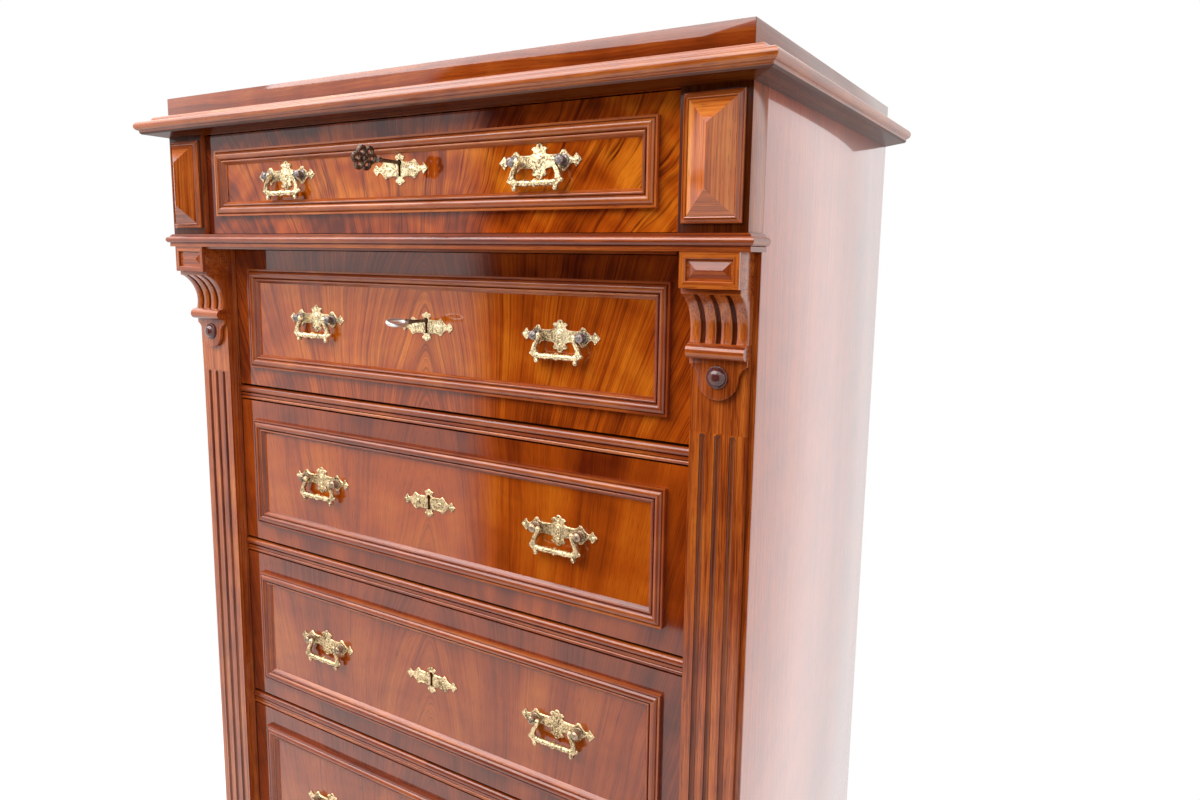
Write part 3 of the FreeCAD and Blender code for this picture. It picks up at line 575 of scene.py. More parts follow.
    def tube(self, points: Sequence[Vector], radii: Sequence[float], flat: float,
             around: int) -> "Stock":
        """Add a rod through points, its section flattened along y."""
        rings = []
        for k, (p, r) in enumerate(zip(points, radii)):
            ahead = points[min(k + 1, len(points) - 1)] - points[max(k - 1, 0)]
            side = ahead.normalized().cross(Y).normalized()
            rings.append(oval(p, side * r, Y * (r * flat), around))
        return self.loft(rings)

    def hip(self, low: Point, high: Point, y: float, rise: float,
            shifts: Sequence[float], thick: float = 0.6) -> "Stock":
        """Add a hipped panel, each slope with a figure of its own.

        Args:
            low: Lower left corner as (x, z).
            high: Upper right corner as (x, z).
            y: Plane of the edge.
            rise: Height of the ridge in front of it.
            shifts: Figures of the bottom, top, left and right slopes.
            thick: Thickness of the edge behind the slopes.

        Returns:
            The stock itself.
        """
        (x0, z0), (x1, z1) = low, high
        slope = min(x1 - x0, z1 - z0) / 2.0
        upright = x1 - x0 < z1 - z0
        a = Vector((x0 + slope, y - rise, z0 + slope))
        b = Vector((x1 - slope, y - rise, z1 - slope))
        c = [Vector((x, y, z)) for x, z in ((x0, z0), (x1, z0), (x1, z1), (x0, z1))]
        tops = ([[c[0], c[1], a], [c[2], c[3], b], [c[3], c[0], a, b], [c[1], c[2], b, a]]
                if upright else
                [[c[0], c[1], b, a], [c[2], c[3], a, b], [c[3], c[0], a], [c[1], c[2], b]])
        for k, (top, shift) in enumerate(zip(tops, shifts)):
            n = len(top)
            verts = top + [Vector((p.x, y + thick, p.z)) for p in top]
            faces = [tuple(range(n)), tuple(range(n, 2 * n))]
            faces += [(i, (i + 1) % n, n + (i + 1) % n, n + i) for i in range(n)]
            self.add(verts, faces, (LEVEL if k < 2 else UPRIGHT).moved(shift))
        return self

    def finish(self, finish: Finish, body: str, *stands_for: str,
               slot: str = "walnut", crease: float = 22.0) -> bpy.types.Object:
        """Turn the stock into an object that rides on a body.

        Args:
            finish: Its material.
            body: The body that carries it.
            *stands_for: The model's nodes that it replaces.
            slot: A material slot's name; not used.
            crease: Edges sharper than this, in degrees, stay crisp.

        Returns:
            The object.
        """
        mesh = bpy.data.meshes.new(self.name)
        mesh.from_pydata([tuple(v * MM) for v in self.verts], [], self.faces)
        layer = mesh.attributes.new("grain", "FLOAT_VECTOR", "POINT")
        layer.data.foreach_set("vector", [c for g in self.grain for c in g])
        # The painted shade goes into an attribute of its own.
        if self.soil:
            layer = mesh.attributes.new("soil", "FLOAT", "POINT")
            for index, amount in self.soil.items():
                layer.data[index].value = amount
        mesh.polygons.foreach_set("use_smooth", [True] * len(mesh.polygons))
        mesh.update()
        mesh.set_sharp_from_angle(angle=math.radians(crease))
        mesh.materials.append(finish.build())
        piece = bpy.data.objects.new(self.name, mesh)
        bpy.context.scene.collection.objects.link(piece)
        if stands_for:
            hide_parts(*stands_for)
        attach(piece, body)
        LOG.info("%s: %d faces", self.name, len(mesh.polygons))
        return piece


# ------------------------------------------------------------------ repeats
class Grower:
    """A geometry tree with named inputs that grows one plain mesh."""

    def __init__(self, name: str, **inputs: Any) -> None:
        """Make the tree with its interface; the inputs give their defaults."""
        self.tree = bpy.data.node_groups.new(name, "GeometryNodeTree")
        face = self.tree.interface
        face.new_socket("Geometry", in_out="INPUT", socket_type="NodeSocketGeometry")
        kinds = {int: "NodeSocketInt", float: "NodeSocketFloat", tuple: "NodeSocketVector"}
        for key, value in inputs.items():
            made = face.new_socket(key, in_out="INPUT", socket_type=kinds[type(value)])
            made.default_value = value
        face.new_socket("Geometry", in_out="OUTPUT", socket_type="NodeSocketGeometry")
        self.graph = Graph(self.tree)
        self.source = self.graph.node("NodeGroupInput")

    def given(self, name: str) -> Wire:
        """A named input inside the tree."""
        return Wire(self.graph, self.source.outputs[name])

    def close(self, geometry: bpy.types.Node) -> "Grower":
        """End the tree in Realize Instances and Set Material."""
        for kind in ("GeometryNodeRealizeInstances", "GeometryNodeSetMaterial",
                     "NodeGroupOutput"):
            geometry = self.graph.node(kind, None, {0: geometry})
        return self

    def grow(self, seed: bpy.types.Mesh, **values: Any) -> bpy.types.Mesh:
        """Run the tree on a mesh.

        Args:
            seed: The mesh that the tree starts from; it is removed.
            **values: Input values by name.

        Returns:
            The plain mesh.
        """
        holder = bpy.data.objects.new("seed", seed)
        bpy.context.scene.collection.objects.link(holder)
        modifier = holder.modifiers.new("grow", "NODES")
        modifier.node_group = self.tree
        for item in self.tree.interface.items_tree:
            if item.in_out == "INPUT" and item.name in values:
                modifier[item.identifier] = values[item.name]
        graph = bpy.context.evaluated_depsgraph_get()
        made = bpy.data.meshes.new_from_object(holder.evaluated_get(graph))
        holder.modifiers.clear()
        bpy.data.objects.remove(holder)
        bpy.data.meshes.remove(seed)
        return made


def row_grower() -> Grower:
    """Repeats a piece in a straight row."""
    made = Grower("row_of_pieces", Count=4, Pitch=(1.0, 0.0, 0.0))
    line = made.graph.node("GeometryNodeMeshLine", {"mode": "OFFSET"}, {
        "Count": made.given("Count"), "Offset": made.given("Pitch")})
    return made.close(made.graph.node("GeometryNodeInstanceOnPoints", None, {
        "Points": line, "Instance": made.given("Geometry")}))


def pin_grower() -> Grower:
    """Sets a small round-headed pin on every point of a mesh."""
    made = Grower("pins", Radius=0.8, Head=0.6)
    ball = made.graph.node("GeometryNodeMeshUVSphere", None, {
        "Segments": 10, "Rings": 6, "Radius": made.given("Radius")})
    return made.close(made.graph.node("GeometryNodeInstanceOnPoints", None, {
        "Points": made.given("Geometry"), "Instance": ball,
        "Scale": made.graph.vector(1.0, made.given("Head"), 1.0)}))


def grip_grower() -> Grower:
    """Turns a baluster grip: a straight rod whose girth swells in beads."""
    made = Grower("baluster_grip", Reach=21.0, Radius=2.0, Bead=1.3, Swell=0.7)
    graph, reach = made.graph, made.given("Reach")
    line = graph.node("GeometryNodeCurvePrimitiveLine", None, {
        0: graph.vector(reach * -1.0, 0.0, 0.0), 1: graph.vector(reach, 0.0, 0.0)})
    fine = graph.node("GeometryNodeResampleCurve", None, {"Curve": line, "Count": 61})
    x = graph.split(graph.wire("GeometryNodeInputPosition"))[0]
    share = graph.maths("ABSOLUTE", x) / reach

    def swelling(place: float, tight: float) -> Wire:
        """A bell curve round a place on the grip."""
        away = share - place
        return graph.maths("EXPONENT", away * away * -tight)

    belly = swelling(0.56, 26.0)
    girth = (made.given("Radius") * 0.72 + swelling(0.0, 90.0) * made.given("Bead")
             + swelling(0.24, 900.0) * 0.55 + belly * made.given("Swell")
             + swelling(0.86, 700.0) * 0.6 + graph.maths("SINE", x * 2.6) * 0.30 * belly)
    circle = graph.node("GeometryNodeCurvePrimitiveCircle", None, {
        "Resolution": 12, "Radius": 1.0})
    return made.close(graph.node("GeometryNodeCurveToMesh", None, {
        "Curve": fine, "Profile Curve": circle, "Scale": girth, "Fill Caps": True}))


# ------------------------------------------------------------------ sizes
@dataclass(frozen=True)
class Sizes:
    """The case in millimetres, as the model has it."""

    half: float = 345.0
    open_x: float = 291.75
    post_in: float = 288.3
    side_t: float = 18.0
    y_stile: float = -149.9
    y_frieze: float = -178.9
    y_back: float = 233.1
    back_t: float = 16.0
    foot_h: float = 45.0
    z_base: float = 115.0
    rail_h: float = 17.5
    waist_h: float = 16.0
    openings: tuple[float, ...] = (106.5, 156.0, 168.0, 179.0, 190.0, 201.0, 212.0)
    z_waist: float = 1308.5
    z_frieze: float = 1324.5
    z_soffit: float = 1431.0
    z_cornice: float = 1453.5
    z_top: float = 1473.7
    block_w: float = 48.5
    block_x: float = 316.0
    corbel_up: float = 2.4
    upper_in: float = 6.0
    lower_in: float = 10.0

    def floor(self, number: int) -> float:
        """Height of the floor of a drawer opening, 1 at the top to 7."""
        below = self.openings[number:]
        level = self.z_base + sum(below) + self.rail_h * len(below)
        return level + self.waist_h - self.rail_h if number == 1 else level

    def face(self, number: int) -> float:
        """The plane of a drawer front."""
        return self.y_frieze + self.upper_in if number == 1 else self.y_stile + self.lower_in

    @property
    def inside(self) -> float:
        """Inner face of the side panels."""
        return self.half - self.side_t


@dataclass(frozen=True)
class Finishes:
    """The finishes that the piece is dressed in."""

    frieze: Timber = Timber("polished_frieze", fan=0.33, bands=80.0, depth=0.42, lines=0.35,
                            tone=0.01, figure=0.04, veins=75.0, vein=0.7, glow=1.1,
                            streaks=520.0, stroke=6.0, wave=0.008, polish=0.78, wax_and_shade=0.3,
                            drift=0.35)
    veneer: Timber = Timber("polished_veneer", fan=0.62, bands=85.0, depth=0.42, tone=0.05,
                            veins=120.0, glow=0.5, streaks=560.0, stroke=2.2, wave=0.003,
                            arch=0.34, wax_and_shade=0.3)
    plain: Timber = Timber("polished_plain_veneer", fan=1.1, bands=26.0, depth=0.45,
                           lines=0.2, tone=0.02, veins=50.0, vein=0.3, streaks=620.0,
                           stroke=2.4, wave=0.003, arch=0.26, wax_and_shade=0.3)
    # A darker copy of the plain veneer for the lowest drawers: painted shade, as less light
    # reaches them.
    low: Timber = replace(plain, name="polished_low_veneer", dark=(0.10, 0.012, 0.002),
                          mid=(0.36, 0.058, 0.006), light=(0.62, 0.16, 0.018), lines=0.25,
                          vein=0.35)
    side: Timber = Timber("polished_side", (0.15, 0.019, 0.004), (0.50, 0.069, 0.011),
                          (0.74, 0.158, 0.024), bands=22.0, depth=0.3, vein=0.12, lines=0.3,
                          gloss=0.5, rough=0.3, streaks=260.0)
    lid: Timber = Timber("polished_top", (0.10, 0.014, 0.002), (0.30, 0.052, 0.006),
                         (0.54, 0.15, 0.02), bands=40.0, vein=0.4, streaks=260.0)
    solid: Timber = Timber("polished_moulding", (0.085, 0.009, 0.001), (0.31, 0.050, 0.006),
                           (0.60, 0.16, 0.02), bands=90.0, streaks=420.0, veins=60.0,
                           vein=0.45, figure=0.012, coat_rough=0.24)
    # A lighter copy of the moulding, for the cornice and the upper drawer's frame: partly painted
    # highlight.
    pale: Timber = replace(solid, name="polished_light_moulding", dark=(0.13, 0.018, 0.002),
                           mid=(0.42, 0.085, 0.010), light=(0.70, 0.22, 0.035), vein=0.4,
                           coat_rough=0.22)
    upright: Timber = Timber("polished_pilaster", mid=(0.45, 0.088, 0.010),
                             light=(0.70, 0.21, 0.028), bands=120.0, streaks=600.0,
                             veins=170.0, vein=0.6, figure=0.008, stroke=6.0,
                             coat_rough=0.20)
    corbel: Timber = replace(upright, name="polished_corbel", wax_and_shade=0.25)
    # A lighter copy of the wood for the right pointed panel: painted light from the right.
    bright: Timber = Timber("polished_point", (0.20, 0.03, 0.004), (0.66, 0.15, 0.020),
                            (0.86, 0.32, 0.06), bands=90.0, streaks=520.0, veins=120.0,
                            vein=0.4, figure=0.01, coat_rough=0.10)
    # Near black, for painted shade: behind the corbel reeds, partly dirt, and inside the keyholes.
    painted_dark: Timber = Timber("dark_groove", (0.040, 0.006, 0.002), (0.11, 0.020, 0.005),
                           (0.17, 0.04, 0.008), polish=0.15)
    deep: Timber = Timber("dark_polished_block", (0.04, 0.008, 0.007), (0.13, 0.030, 0.024),
                          (0.26, 0.08, 0.055), bands=50.0)
    bare: Timber = Timber("bare_pine", (0.44, 0.21, 0.09), (0.64, 0.355, 0.165),
                          (0.74, 0.46, 0.25), Coords.ALONG_X, bands=60.0, polish=0.0,
                          rough=0.7, pores=0.15)
    brass: CastMetal = CastMetal("old_brass")
    # Darker copies of the brass and the post ends for the lower drawers: painted shade, as less
    # light reaches them.
    shaded_brass: CastMetal = CastMetal("darker_brass", (0.78, 0.60, 0.35),
                                      (0.13, 0.075, 0.035))
    shaded_post: CastMetal = CastMetal("brown_post_ends", (0.40, 0.29, 0.20),
                                     (0.09, 0.06, 0.04), 0.4)
    bronze: CastMetal = CastMetal("dark_bronze", (0.17, 0.12, 0.09), (0.045, 0.03, 0.025),
                                  0.32)
    post: CastMetal = CastMetal("worn_post_ends", (0.30, 0.25, 0.24), (0.08, 0.06, 0.055),
                                0.4)
    plated: CastMetal = CastMetal("plated_steel", (0.80, 0.79, 0.78), (0.45, 0.44, 0.43),
                                  0.2, 0.15)
    iron: CastMetal = CastMetal("lock_iron", (0.36, 0.35, 0.34), (0.20, 0.19, 0.18), 0.42)

    def front(self, number: int) -> Timber:
        """The veneer of a drawer front."""
        # Drawers 4 to 7 take the darker veneer: painted shade lower down.
        return {1: self.frieze, 2: self.veneer, 3: self.plain}.get(number, self.low)

    def plate(self, number: int) -> CastMetal:
        """The brass of a drawer; the lower ones take a darker copy, for painted shade."""
        return self.brass if number < 3 else self.shaded_brass

    def end(self, number: int) -> CastMetal:
        """The metal of the posts that a drawer's handles hang from."""
        # From the third drawer down the posts take a darker copy: painted shade.
        return self.post if number < 3 else self.shaded_post


# ------------------------------------------------------------------ the case
@dataclass
class SubAssembly:
    """A group of pieces made together."""

    sizes: Sizes = Sizes()
    finishes: Finishes = Finishes()

    def make(self) -> None:
        """Build the pieces and dress them."""
        raise NotImplementedError


@dataclass
class Carcase(SubAssembly):
    """Side panels with their stiles, the boards of the top, front rails."""

    stile_t: float = 24.0
    lipping: float = 1.6
    back_lap: float = 9.0
    board_w: float = 70.0
    rail_w: float = 64.0
    rail_back: float = 9.6
    arris: float = 0.5
    bolt_in: float = 15.0
    mortise: tuple[float, float, float] = (18.8, 4.4, 7.6)

    def side(self, hand: int, name: str) -> None:
        """One side panel with the stile glued to it."""
        s = self.sizes
        front, back, lap = s.y_stile + self.lipping, s.y_back - s.back_t, s.inside + self.back_lap
        outline = [(s.inside, front), (s.half, front), (s.half, s.y_back), (lap, s.y_back),
                   (lap, back), (s.inside, back)]
        panel = Stock(f"side_of_case_{name}")
        panel.extrude([(hand * x, y) for x, y in outline], 2, s.foot_h,
                      s.z_cornice - s.foot_h, Grain(Z, Y, shift=0.6 * hand), 0.2)
        panel.finish(self.finishes.side, "cabinet", f"side_{name}")
        stile = Stock(f"stile_{name}")
        for inner, outer, thick in ((s.open_x, s.inside, self.stile_t),
                                    (s.inside, s.half, self.lipping)):
            x0, x1 = sorted((hand * inner, hand * outer))
            stile.block((x0, s.y_stile, s.foot_h), (x1, s.y_stile + thick, s.z_soffit),
                        UPRIGHT.moved(1.3 * hand), 0.2)
        stile.finish(self.finishes.upright, "cabinet")

    def top(self) -> None:
        """Header, sub-top and the mitred flat top."""
        s, w = self.sizes, self.board_w
        stock = Stock("flat_top")
        deep, tall, h = s.y_stile - s.y_frieze, s.z_cornice - s.z_soffit, s.z_top - s.z_cornice
        self.mortised(stock, [(deep, tall), (0.0, tall), (0.0, 0.0), (deep, 0.0)],
                      Vector((-s.post_in, s.y_frieze, s.z_soffit)), 2.0 * s.post_in, 1)
        stock.block((-s.inside, s.y_stile, s.z_soffit),
                    (s.inside, s.y_back - s.back_t, s.z_cornice))
        wide, depth = 2.0 * s.half, s.y_back - s.y_frieze
        for x, y, along, out, length, shift in (
                (-s.half, s.y_frieze, X, Y, wide, 0.2), (-s.half, s.y_back, X, -Y, wide, 0.9),
                (-s.half, s.y_frieze, Y, X, depth, 1.6), (s.half, s.y_frieze, Y, -X, depth, 2.3)):
            stock.run([(0.0, 0.0), (w, 0.0), (w, h), (0.0, h)], Vector((x, y, s.z_cornice)),
                      along, out, Z, length, -1, -1, shift, self.arris)
        stock.block((-s.half + w, s.y_frieze + w, s.z_cornice),
                    (s.half - w, s.y_back - w, s.z_top), LEVEL.moved(3.1))
        stock.finish(self.finishes.lid, "cabinet", "top_box")

    def mortised(self, stock: Stock, path: Sequence[Any], start: Vector, length: float,
                 number: int, shift: float = 0.0) -> None:
        """Add a board with a mortise for a lock bolt in the middle of its underside.

        Args:
            stock: The timber that the board is added to.
            path: Its section, ending with the underside from front to back.
            start: Where the section's origin is at the left end.
            length: The length of the board.
            number: The drawer that locks into it.
            shift: Its place in the grain.
        """
        wide, thick, deep = self.mortise
        middle, low = self.sizes.face(number) + self.bolt_in - start.y, path[-1][1]
        a, b, side = middle - thick / 2.0, middle + thick / 2.0, (length - wide) / 2.0
        slot = [*path[:-1], (a, low), (a, low + deep), (b, low + deep), (b, low), path[-1]]
        for section, away, span in ((path, 0.0, side), (slot, side, wide),
                                    (path, side + wide, side)):
            stock.run(section, start + X * away, X, Y, Z, span, shift=shift)

    def rails(self) -> None:
        """Moulded rails between the drawers, the waist and the bottom rail."""
        s = self.sizes
        b, h, w, wide = self.rail_back, s.rail_h, self.rail_w, 2.0 * s.open_x
        path = [
            (w, 0.0), (b + 6.4, 0.0), (b + 5.8, -1.2), (b + 2.9, -1.8),
            ((b - 2.1, -5.5), (b + 1.9, -9.6)), (b, -10.0), (b, 4.9 - h),
            (b + 1.6, 4.3 - h), ((b - 0.6, 2.3 - h), (b + 1.6, 0.5 - h)),
            (b + 2.4, -h), (w, -h)]
        stock = Stock("drawer_rails")
        for number in range(2, 7):
            self.mortised(stock, path, Vector((-s.open_x, s.y_stile, s.floor(number))),
                          wide, number + 1, 0.31 * number)
        stock.block((-s.open_x, s.y_stile, s.z_base - h), (s.open_x, s.y_stile + w, s.z_base))
        stock.block((-s.post_in, s.y_frieze, s.z_waist), (s.post_in, s.y_stile, s.z_frieze))
        self.mortised(stock, [(w, s.waist_h), (0.0, s.waist_h), (0.0, 0.0), (w, 0.0)],
                      Vector((-s.open_x, s.y_stile, s.z_waist)), wide, 2)
        stock.finish(self.finishes.solid, "cabinet", "rails")

    def make(self) -> None:
        """Build the pieces and dress them."""
        for hand, name in SIDES:
            self.side(hand, name)
        self.top()
        self.rails()


@dataclass
class Mouldings(SubAssembly):
    """The cornice, the torus under the frieze and the plinth."""

    cornice_out: float = 26.0
    waist_out: float = 7.0
    plinth_t: float = 16.0
    ledge: float = 10.0
    # Painted shade: how far up from the soffit the cornice is darkened, and by how much.
    shaded: float = 5.0
    shade_amount: float = 0.75

    def round_the_case(self, name: str, path: Sequence[Any], z: float, y0: float,
                       y1: float) -> Stock:
        """A moulding across the front and back along both sides, mitred."""
        x = self.sizes.half
        stock = Stock(name)
        stock.run(path, Vector((-x, y0, z)), X, -Y, Z, 2.0 * x, 1, 1, 0.4)
        for hand, shift in ((-1, 1.1), (1, 1.9)):
            stock.run(path, Vector((hand * x, y0, z)), Y, X * hand, Z, y1 - y0, 1, 0, shift)
        return stock

    def make(self) -> None:
        """Build the pieces and dress them."""
        s, finishes = self.sizes, self.finishes
        tip, h = self.cornice_out, s.z_cornice - s.z_soffit
        stock = self.round_the_case("cornice_moulding", [
            (0.0, 0.0), (tip - 6.0, 3.0), (tip - 4.5, 4.5),
            ((tip - 4.0, 6.6), (tip - 2.4, 7.4)), ((tip, 11.2), (tip - 7.0, 16.0)),
            (tip - 12.0, 17.0), (tip - 13.5, 19.0),
            ((tip - 14.6, 21.4), (tip - 17.0, h)), (0.0, h)], s.z_soffit, s.y_frieze, s.y_back)
        # Painted shade under the cornice: the soffit and the lowest part of the profile are
        # darkened.
        stock.paint_shade(self.shade_amount, lambda v: v.z < s.z_soffit + self.shaded)
        # The cornice takes the lighter moulding: partly painted highlight.
        stock.finish(finishes.pale, "cabinet", "cornice")
        tip, h, up = self.waist_out, s.waist_h, s.corbel_up
        stock = self.round_the_case("frieze_torus", [
            (0.0, up), (tip - 3.3, up), (tip - 3.3, 6.2), (tip - 4.0, 6.6),
            ((tip, 10.2), (tip - 3.6, 13.6)), (tip - 3.6, 14.8), (tip - 4.8, 14.8),
            (tip - 4.8, h), (0.0, h)], s.z_waist, s.y_frieze, s.y_stile)
        stock.finish(finishes.solid, "cabinet", "waist_moulding")
        t, h = self.plinth_t, s.z_base - s.foot_h
        stock = self.round_the_case("plinth_boards", [
            (0.0, 0.0), (t, 0.0), (t, h - 20.0), (t - 2.0, h - 20.0), (t - 2.0, h - 17.0),
            ((t - 2.8, h - 9.6), (self.ledge, h - 4.0)), (self.ledge, h), (0.0, h)],
            s.foot_h, s.y_stile, s.y_back)
        stock.block((-s.inside, s.y_back - s.back_t, s.foot_h),
                    (s.inside, s.y_back, s.z_base - s.rail_h))
        stock.finish(finishes.solid, "cabinet", "plinth")


@dataclass
class CornerBlocks(SubAssembly):
    """Posts beside the upper drawer with a framed, pointed panel on each."""

    height: float = 94.5
    up: float = 7.0
    ring: float = 4.9
    proud: float = 5.0
    point: float = 15.5
    seat: float = 4.0
    # How strongly the posts' front faces are painted with shade.
    shade_amount: float = 0.85

    def make(self) -> None:
        """Build the pieces and dress them."""
        s, ring, proud = self.sizes, self.ring, self.proud
        low = s.z_frieze + self.up
        top = low + self.height
        path = [(0.0, 0.0), (0.0, 2.0), (0.9, 2.8), (1.6, 2.2),
                ((ring - 2.2, 3.0), (ring - 0.9, proud)), (ring, proud - 0.4), (ring, 0.0)]
        frames = Stock("corner_frames")
        for hand, name in SIDES:
            x0, x1 = sorted((hand * s.post_in, hand * s.half))
            first = len(frames.verts)
            frames.block((x0, s.y_frieze, s.z_waist + s.corbel_up),
                         (x1, s.y_stile, s.z_cornice), UPRIGHT.moved(0.5 * hand), 0.15)
            # Painted shade on the post's front face around the frame.
            frames.paint_shade(self.shade_amount, lambda v: abs(v.y - s.y_frieze) < 0.01, first)
            x, w = hand * s.block_x, s.block_w / 2.0
            frames.surround(path, (x - w, low), (x + w, top), s.y_frieze, 0.7 * hand)
            lo, hi = (x - w + ring, low + ring), (x + w - ring, top - ring)
            y = s.y_frieze - self.seat
            points = Stock(f"pointed_panel_{name}")
            points.block((lo[0], y + 0.05, lo[1]), (hi[0], s.y_frieze, hi[1]), UPRIGHT, 0.0)
            points.hip(lo, hi, y, self.point - self.seat, [hand + k for k in (2.0, 3.0, 4.0, 5.0)])
            # The right panel takes a lighter wood than the left: painted light from the right.
            if hand > 0:
                points.finish(self.finishes.bright, "cabinet", "corner_pyramids", crease=CRISP)
            else:
                points.finish(self.finishes.upright, "cabinet", crease=CRISP)
        frames.finish(self.finishes.upright, "cabinet", "corner_blocks")


@dataclass
class Corbels(SubAssembly):
    """Scrolled brackets with reeded hollows, pendants and turned buttons."""

    arris: float = 0.3
    head: float = 27.6
    rim_w: float = 5.2
    rim_h: float = 5.6
    sunk: float = 2.5
    gap: float = 2.0
    ridge: float = 1.7
    fillet: float = 4.4
    out: float = 32.0
    scoop: float = 38.4
    neck: float = 10.4
    reeds: int = 4
    reed_w: float = 9.4
    reed_d: float = 2.4
    slack: float = 0.2
    quirk: float = 0.8
    band_h: float = 11.2
    band_out: float = 17.2
    pendant_h: float = 32.7
    pendant_t: float = 8.6
    pendant_back: float = 4.8
    ear: float = 5.0
    end_r: float = 17.0
    boss_r: float = 9.0
    boss_out: float = 6.0

    def __post_init__(self) -> None:
        """Work out the levels from the top down."""
        self.top = self.sizes.z_waist + self.sizes.corbel_up
        self.head_low = self.top - self.head
        self.scoop_top = self.head_low - self.fillet
        self.scoop_low = self.scoop_top - self.scoop
        self.band_low = self.scoop_low - self.quirk - self.band_h
        self.pendant_low = self.band_low - self.pendant_h

    def hollow(self, back: float) -> list[Point]:
        """The curve of the hollow from the top down as (y, z)."""
        y, z = self.sizes.y_stile + back, self.scoop_top
        return flatten([(y - self.out + self.fillet + self.slack, z),
                        ((y - self.neck - 4.2, z - 0.29 * self.scoop),
                         (y - self.neck, self.scoop_low))], 20)

    def reed(self) -> bpy.types.Mesh:
        """One reed at x = 0, rounded on its face."""
        root, w = self.sizes.y_stile, self.reed_w / 2.0
        turns = [math.pi * i / 8.0 for i in range(9)]
        stock = Stock("reed").loft([
            [Vector((-w, root, z)), *(Vector((-w * math.cos(t), y + self.reed_d
                                              * (1.0 - math.sin(t) ** 0.6), z)) for t in turns),
             Vector((w, root, z))] for y, z in self.hollow(0.0)])
        mesh = bpy.data.meshes.new("reed")
        mesh.from_pydata([tuple(v) for v in stock.verts], [], stock.faces)
        return mesh

    def bracket(self, stock: Stock, grooves: Stock, x: float, shift: float) -> None:
        """Head, fillet, hollow and band of one corbel."""
        y, wide = self.sizes.y_stile, self.sizes.block_w
        x0, x1, front, grain = x - wide / 2.0, x + wide / 2.0, y - self.out, LEVEL.moved(shift)
        rim, sunk = self.rim_w, self.sunk
        stock.block((x0, front + sunk, self.head_low), (x1, y, self.top), grain, self.arris)
        stock.surround([(0.0, -0.5), (0.0, sunk), (rim - 0.6, sunk), (rim, sunk - 0.6),
                        (rim, -0.5)], (x0, self.head_low), (x1, self.top), front + sunk, shift,
                       squash=self.rim_h / rim)
        stock.block((x0, front + self.fillet + self.slack, self.scoop_top),
                    (x1, y, self.head_low), grain, self.arris)
        grooves.extrude([(y, self.scoop_top), *self.hollow(self.reed_d), (y, self.scoop_low)],
                        0, x0 + 0.7, wide - 1.4, UPRIGHT.moved(shift))
        stock.extrude([(y, self.scoop_low), (y - self.neck, self.scoop_low),
                       (y - self.neck - 1.8, self.scoop_low - self.quirk),
                       ((y - self.band_out, self.scoop_low - 5.0),
                        (y - self.neck - 2.0, self.band_low)), (y, self.band_low)],
                      0, x0, wide, grain, 0.0, 14)

    def lozenge(self, stock: Stock, x: float, shift: float) -> None:
        """The hipped panel in the head of one corbel."""
        w, up = self.sizes.block_w / 2.0 - self.rim_w - self.gap, self.rim_h + self.gap
        stock.hip((x - w, self.head_low + up), (x + w, self.top - up),
                  self.sizes.y_stile - self.out + self.sunk, self.ridge,
                  [shift + k for k in range(4)])

    def pendant(self, stock: Stock, x: float, shift: float) -> None:
        """The flat hanging plate with ears and a round end."""
        w, r, ear = self.sizes.block_w / 2.0, self.end_r, self.band_low - self.ear
        centre = self.pendant_low + r
        stock.extrude([
            (x - w, self.band_low), (x - w, ear), ((x - r - 2.6, ear - 3.4), (x - r, ear - 9.8)),
            (x - r, centre), ((x, self.pendant_low), (x + r, centre)), (x + r, ear - 9.8),
            ((x + r + 2.6, ear - 3.4), (x + w, ear)), (x + w, self.band_low)],
            1, self.sizes.y_stile - self.pendant_t, self.pendant_t - self.pendant_back,
            UPRIGHT.moved(shift), 0.5, 16)

    def make(self) -> None:
        """Build the pieces and dress them."""
        s, r, out = self.sizes, self.boss_r, self.boss_out
        stock, panels = Stock("corbel_brackets"), Stock("corbel_lozenges")
        buttons, grooves = Stock("turned_buttons"), Stock("corbel_grooves")
        grower, spaces = row_grower(), self.reeds - 1
        pitch = (s.block_w - self.reed_w) / spaces
        for hand, _ in SIDES:
            x = hand * s.block_x
            self.bracket(stock, grooves, x, 3.0 + hand)
            self.lozenge(panels, x, 6.0 + hand)
            self.pendant(stock, x, 1.0 + hand)
            row = grower.grow(self.reed(), Count=self.reeds, Pitch=(pitch, 0.0, 0.0))
            row.transform(Matrix.Translation((x - pitch * spaces / 2.0, 0, 0)))
            stock.mesh(row, UPRIGHT.moved(4.0 + hand))
            middle = Vector((x, s.y_stile - self.pendant_t, self.pendant_low + self.end_r + 1.4))
            buttons.lathe([(0.0, r), (1.2, r), ((1.7, r - 0.2), (1.9, r - 1.4)),
                           ((out - 1.2, 0.58 * r), (out, 0.0))], middle, -Y, X,
                          around=40, steps=10)
        stock.finish(self.finishes.corbel, "cabinet", "corbels")
        panels.finish(self.finishes.solid, "cabinet", crease=CRISP)
        # The hollow behind the reeds is near black: painted shade between the reeds, partly dirt.
        grooves.finish(self.finishes.painted_dark, "cabinet")
        buttons.finish(self.finishes.deep, "cabinet", "bosses")


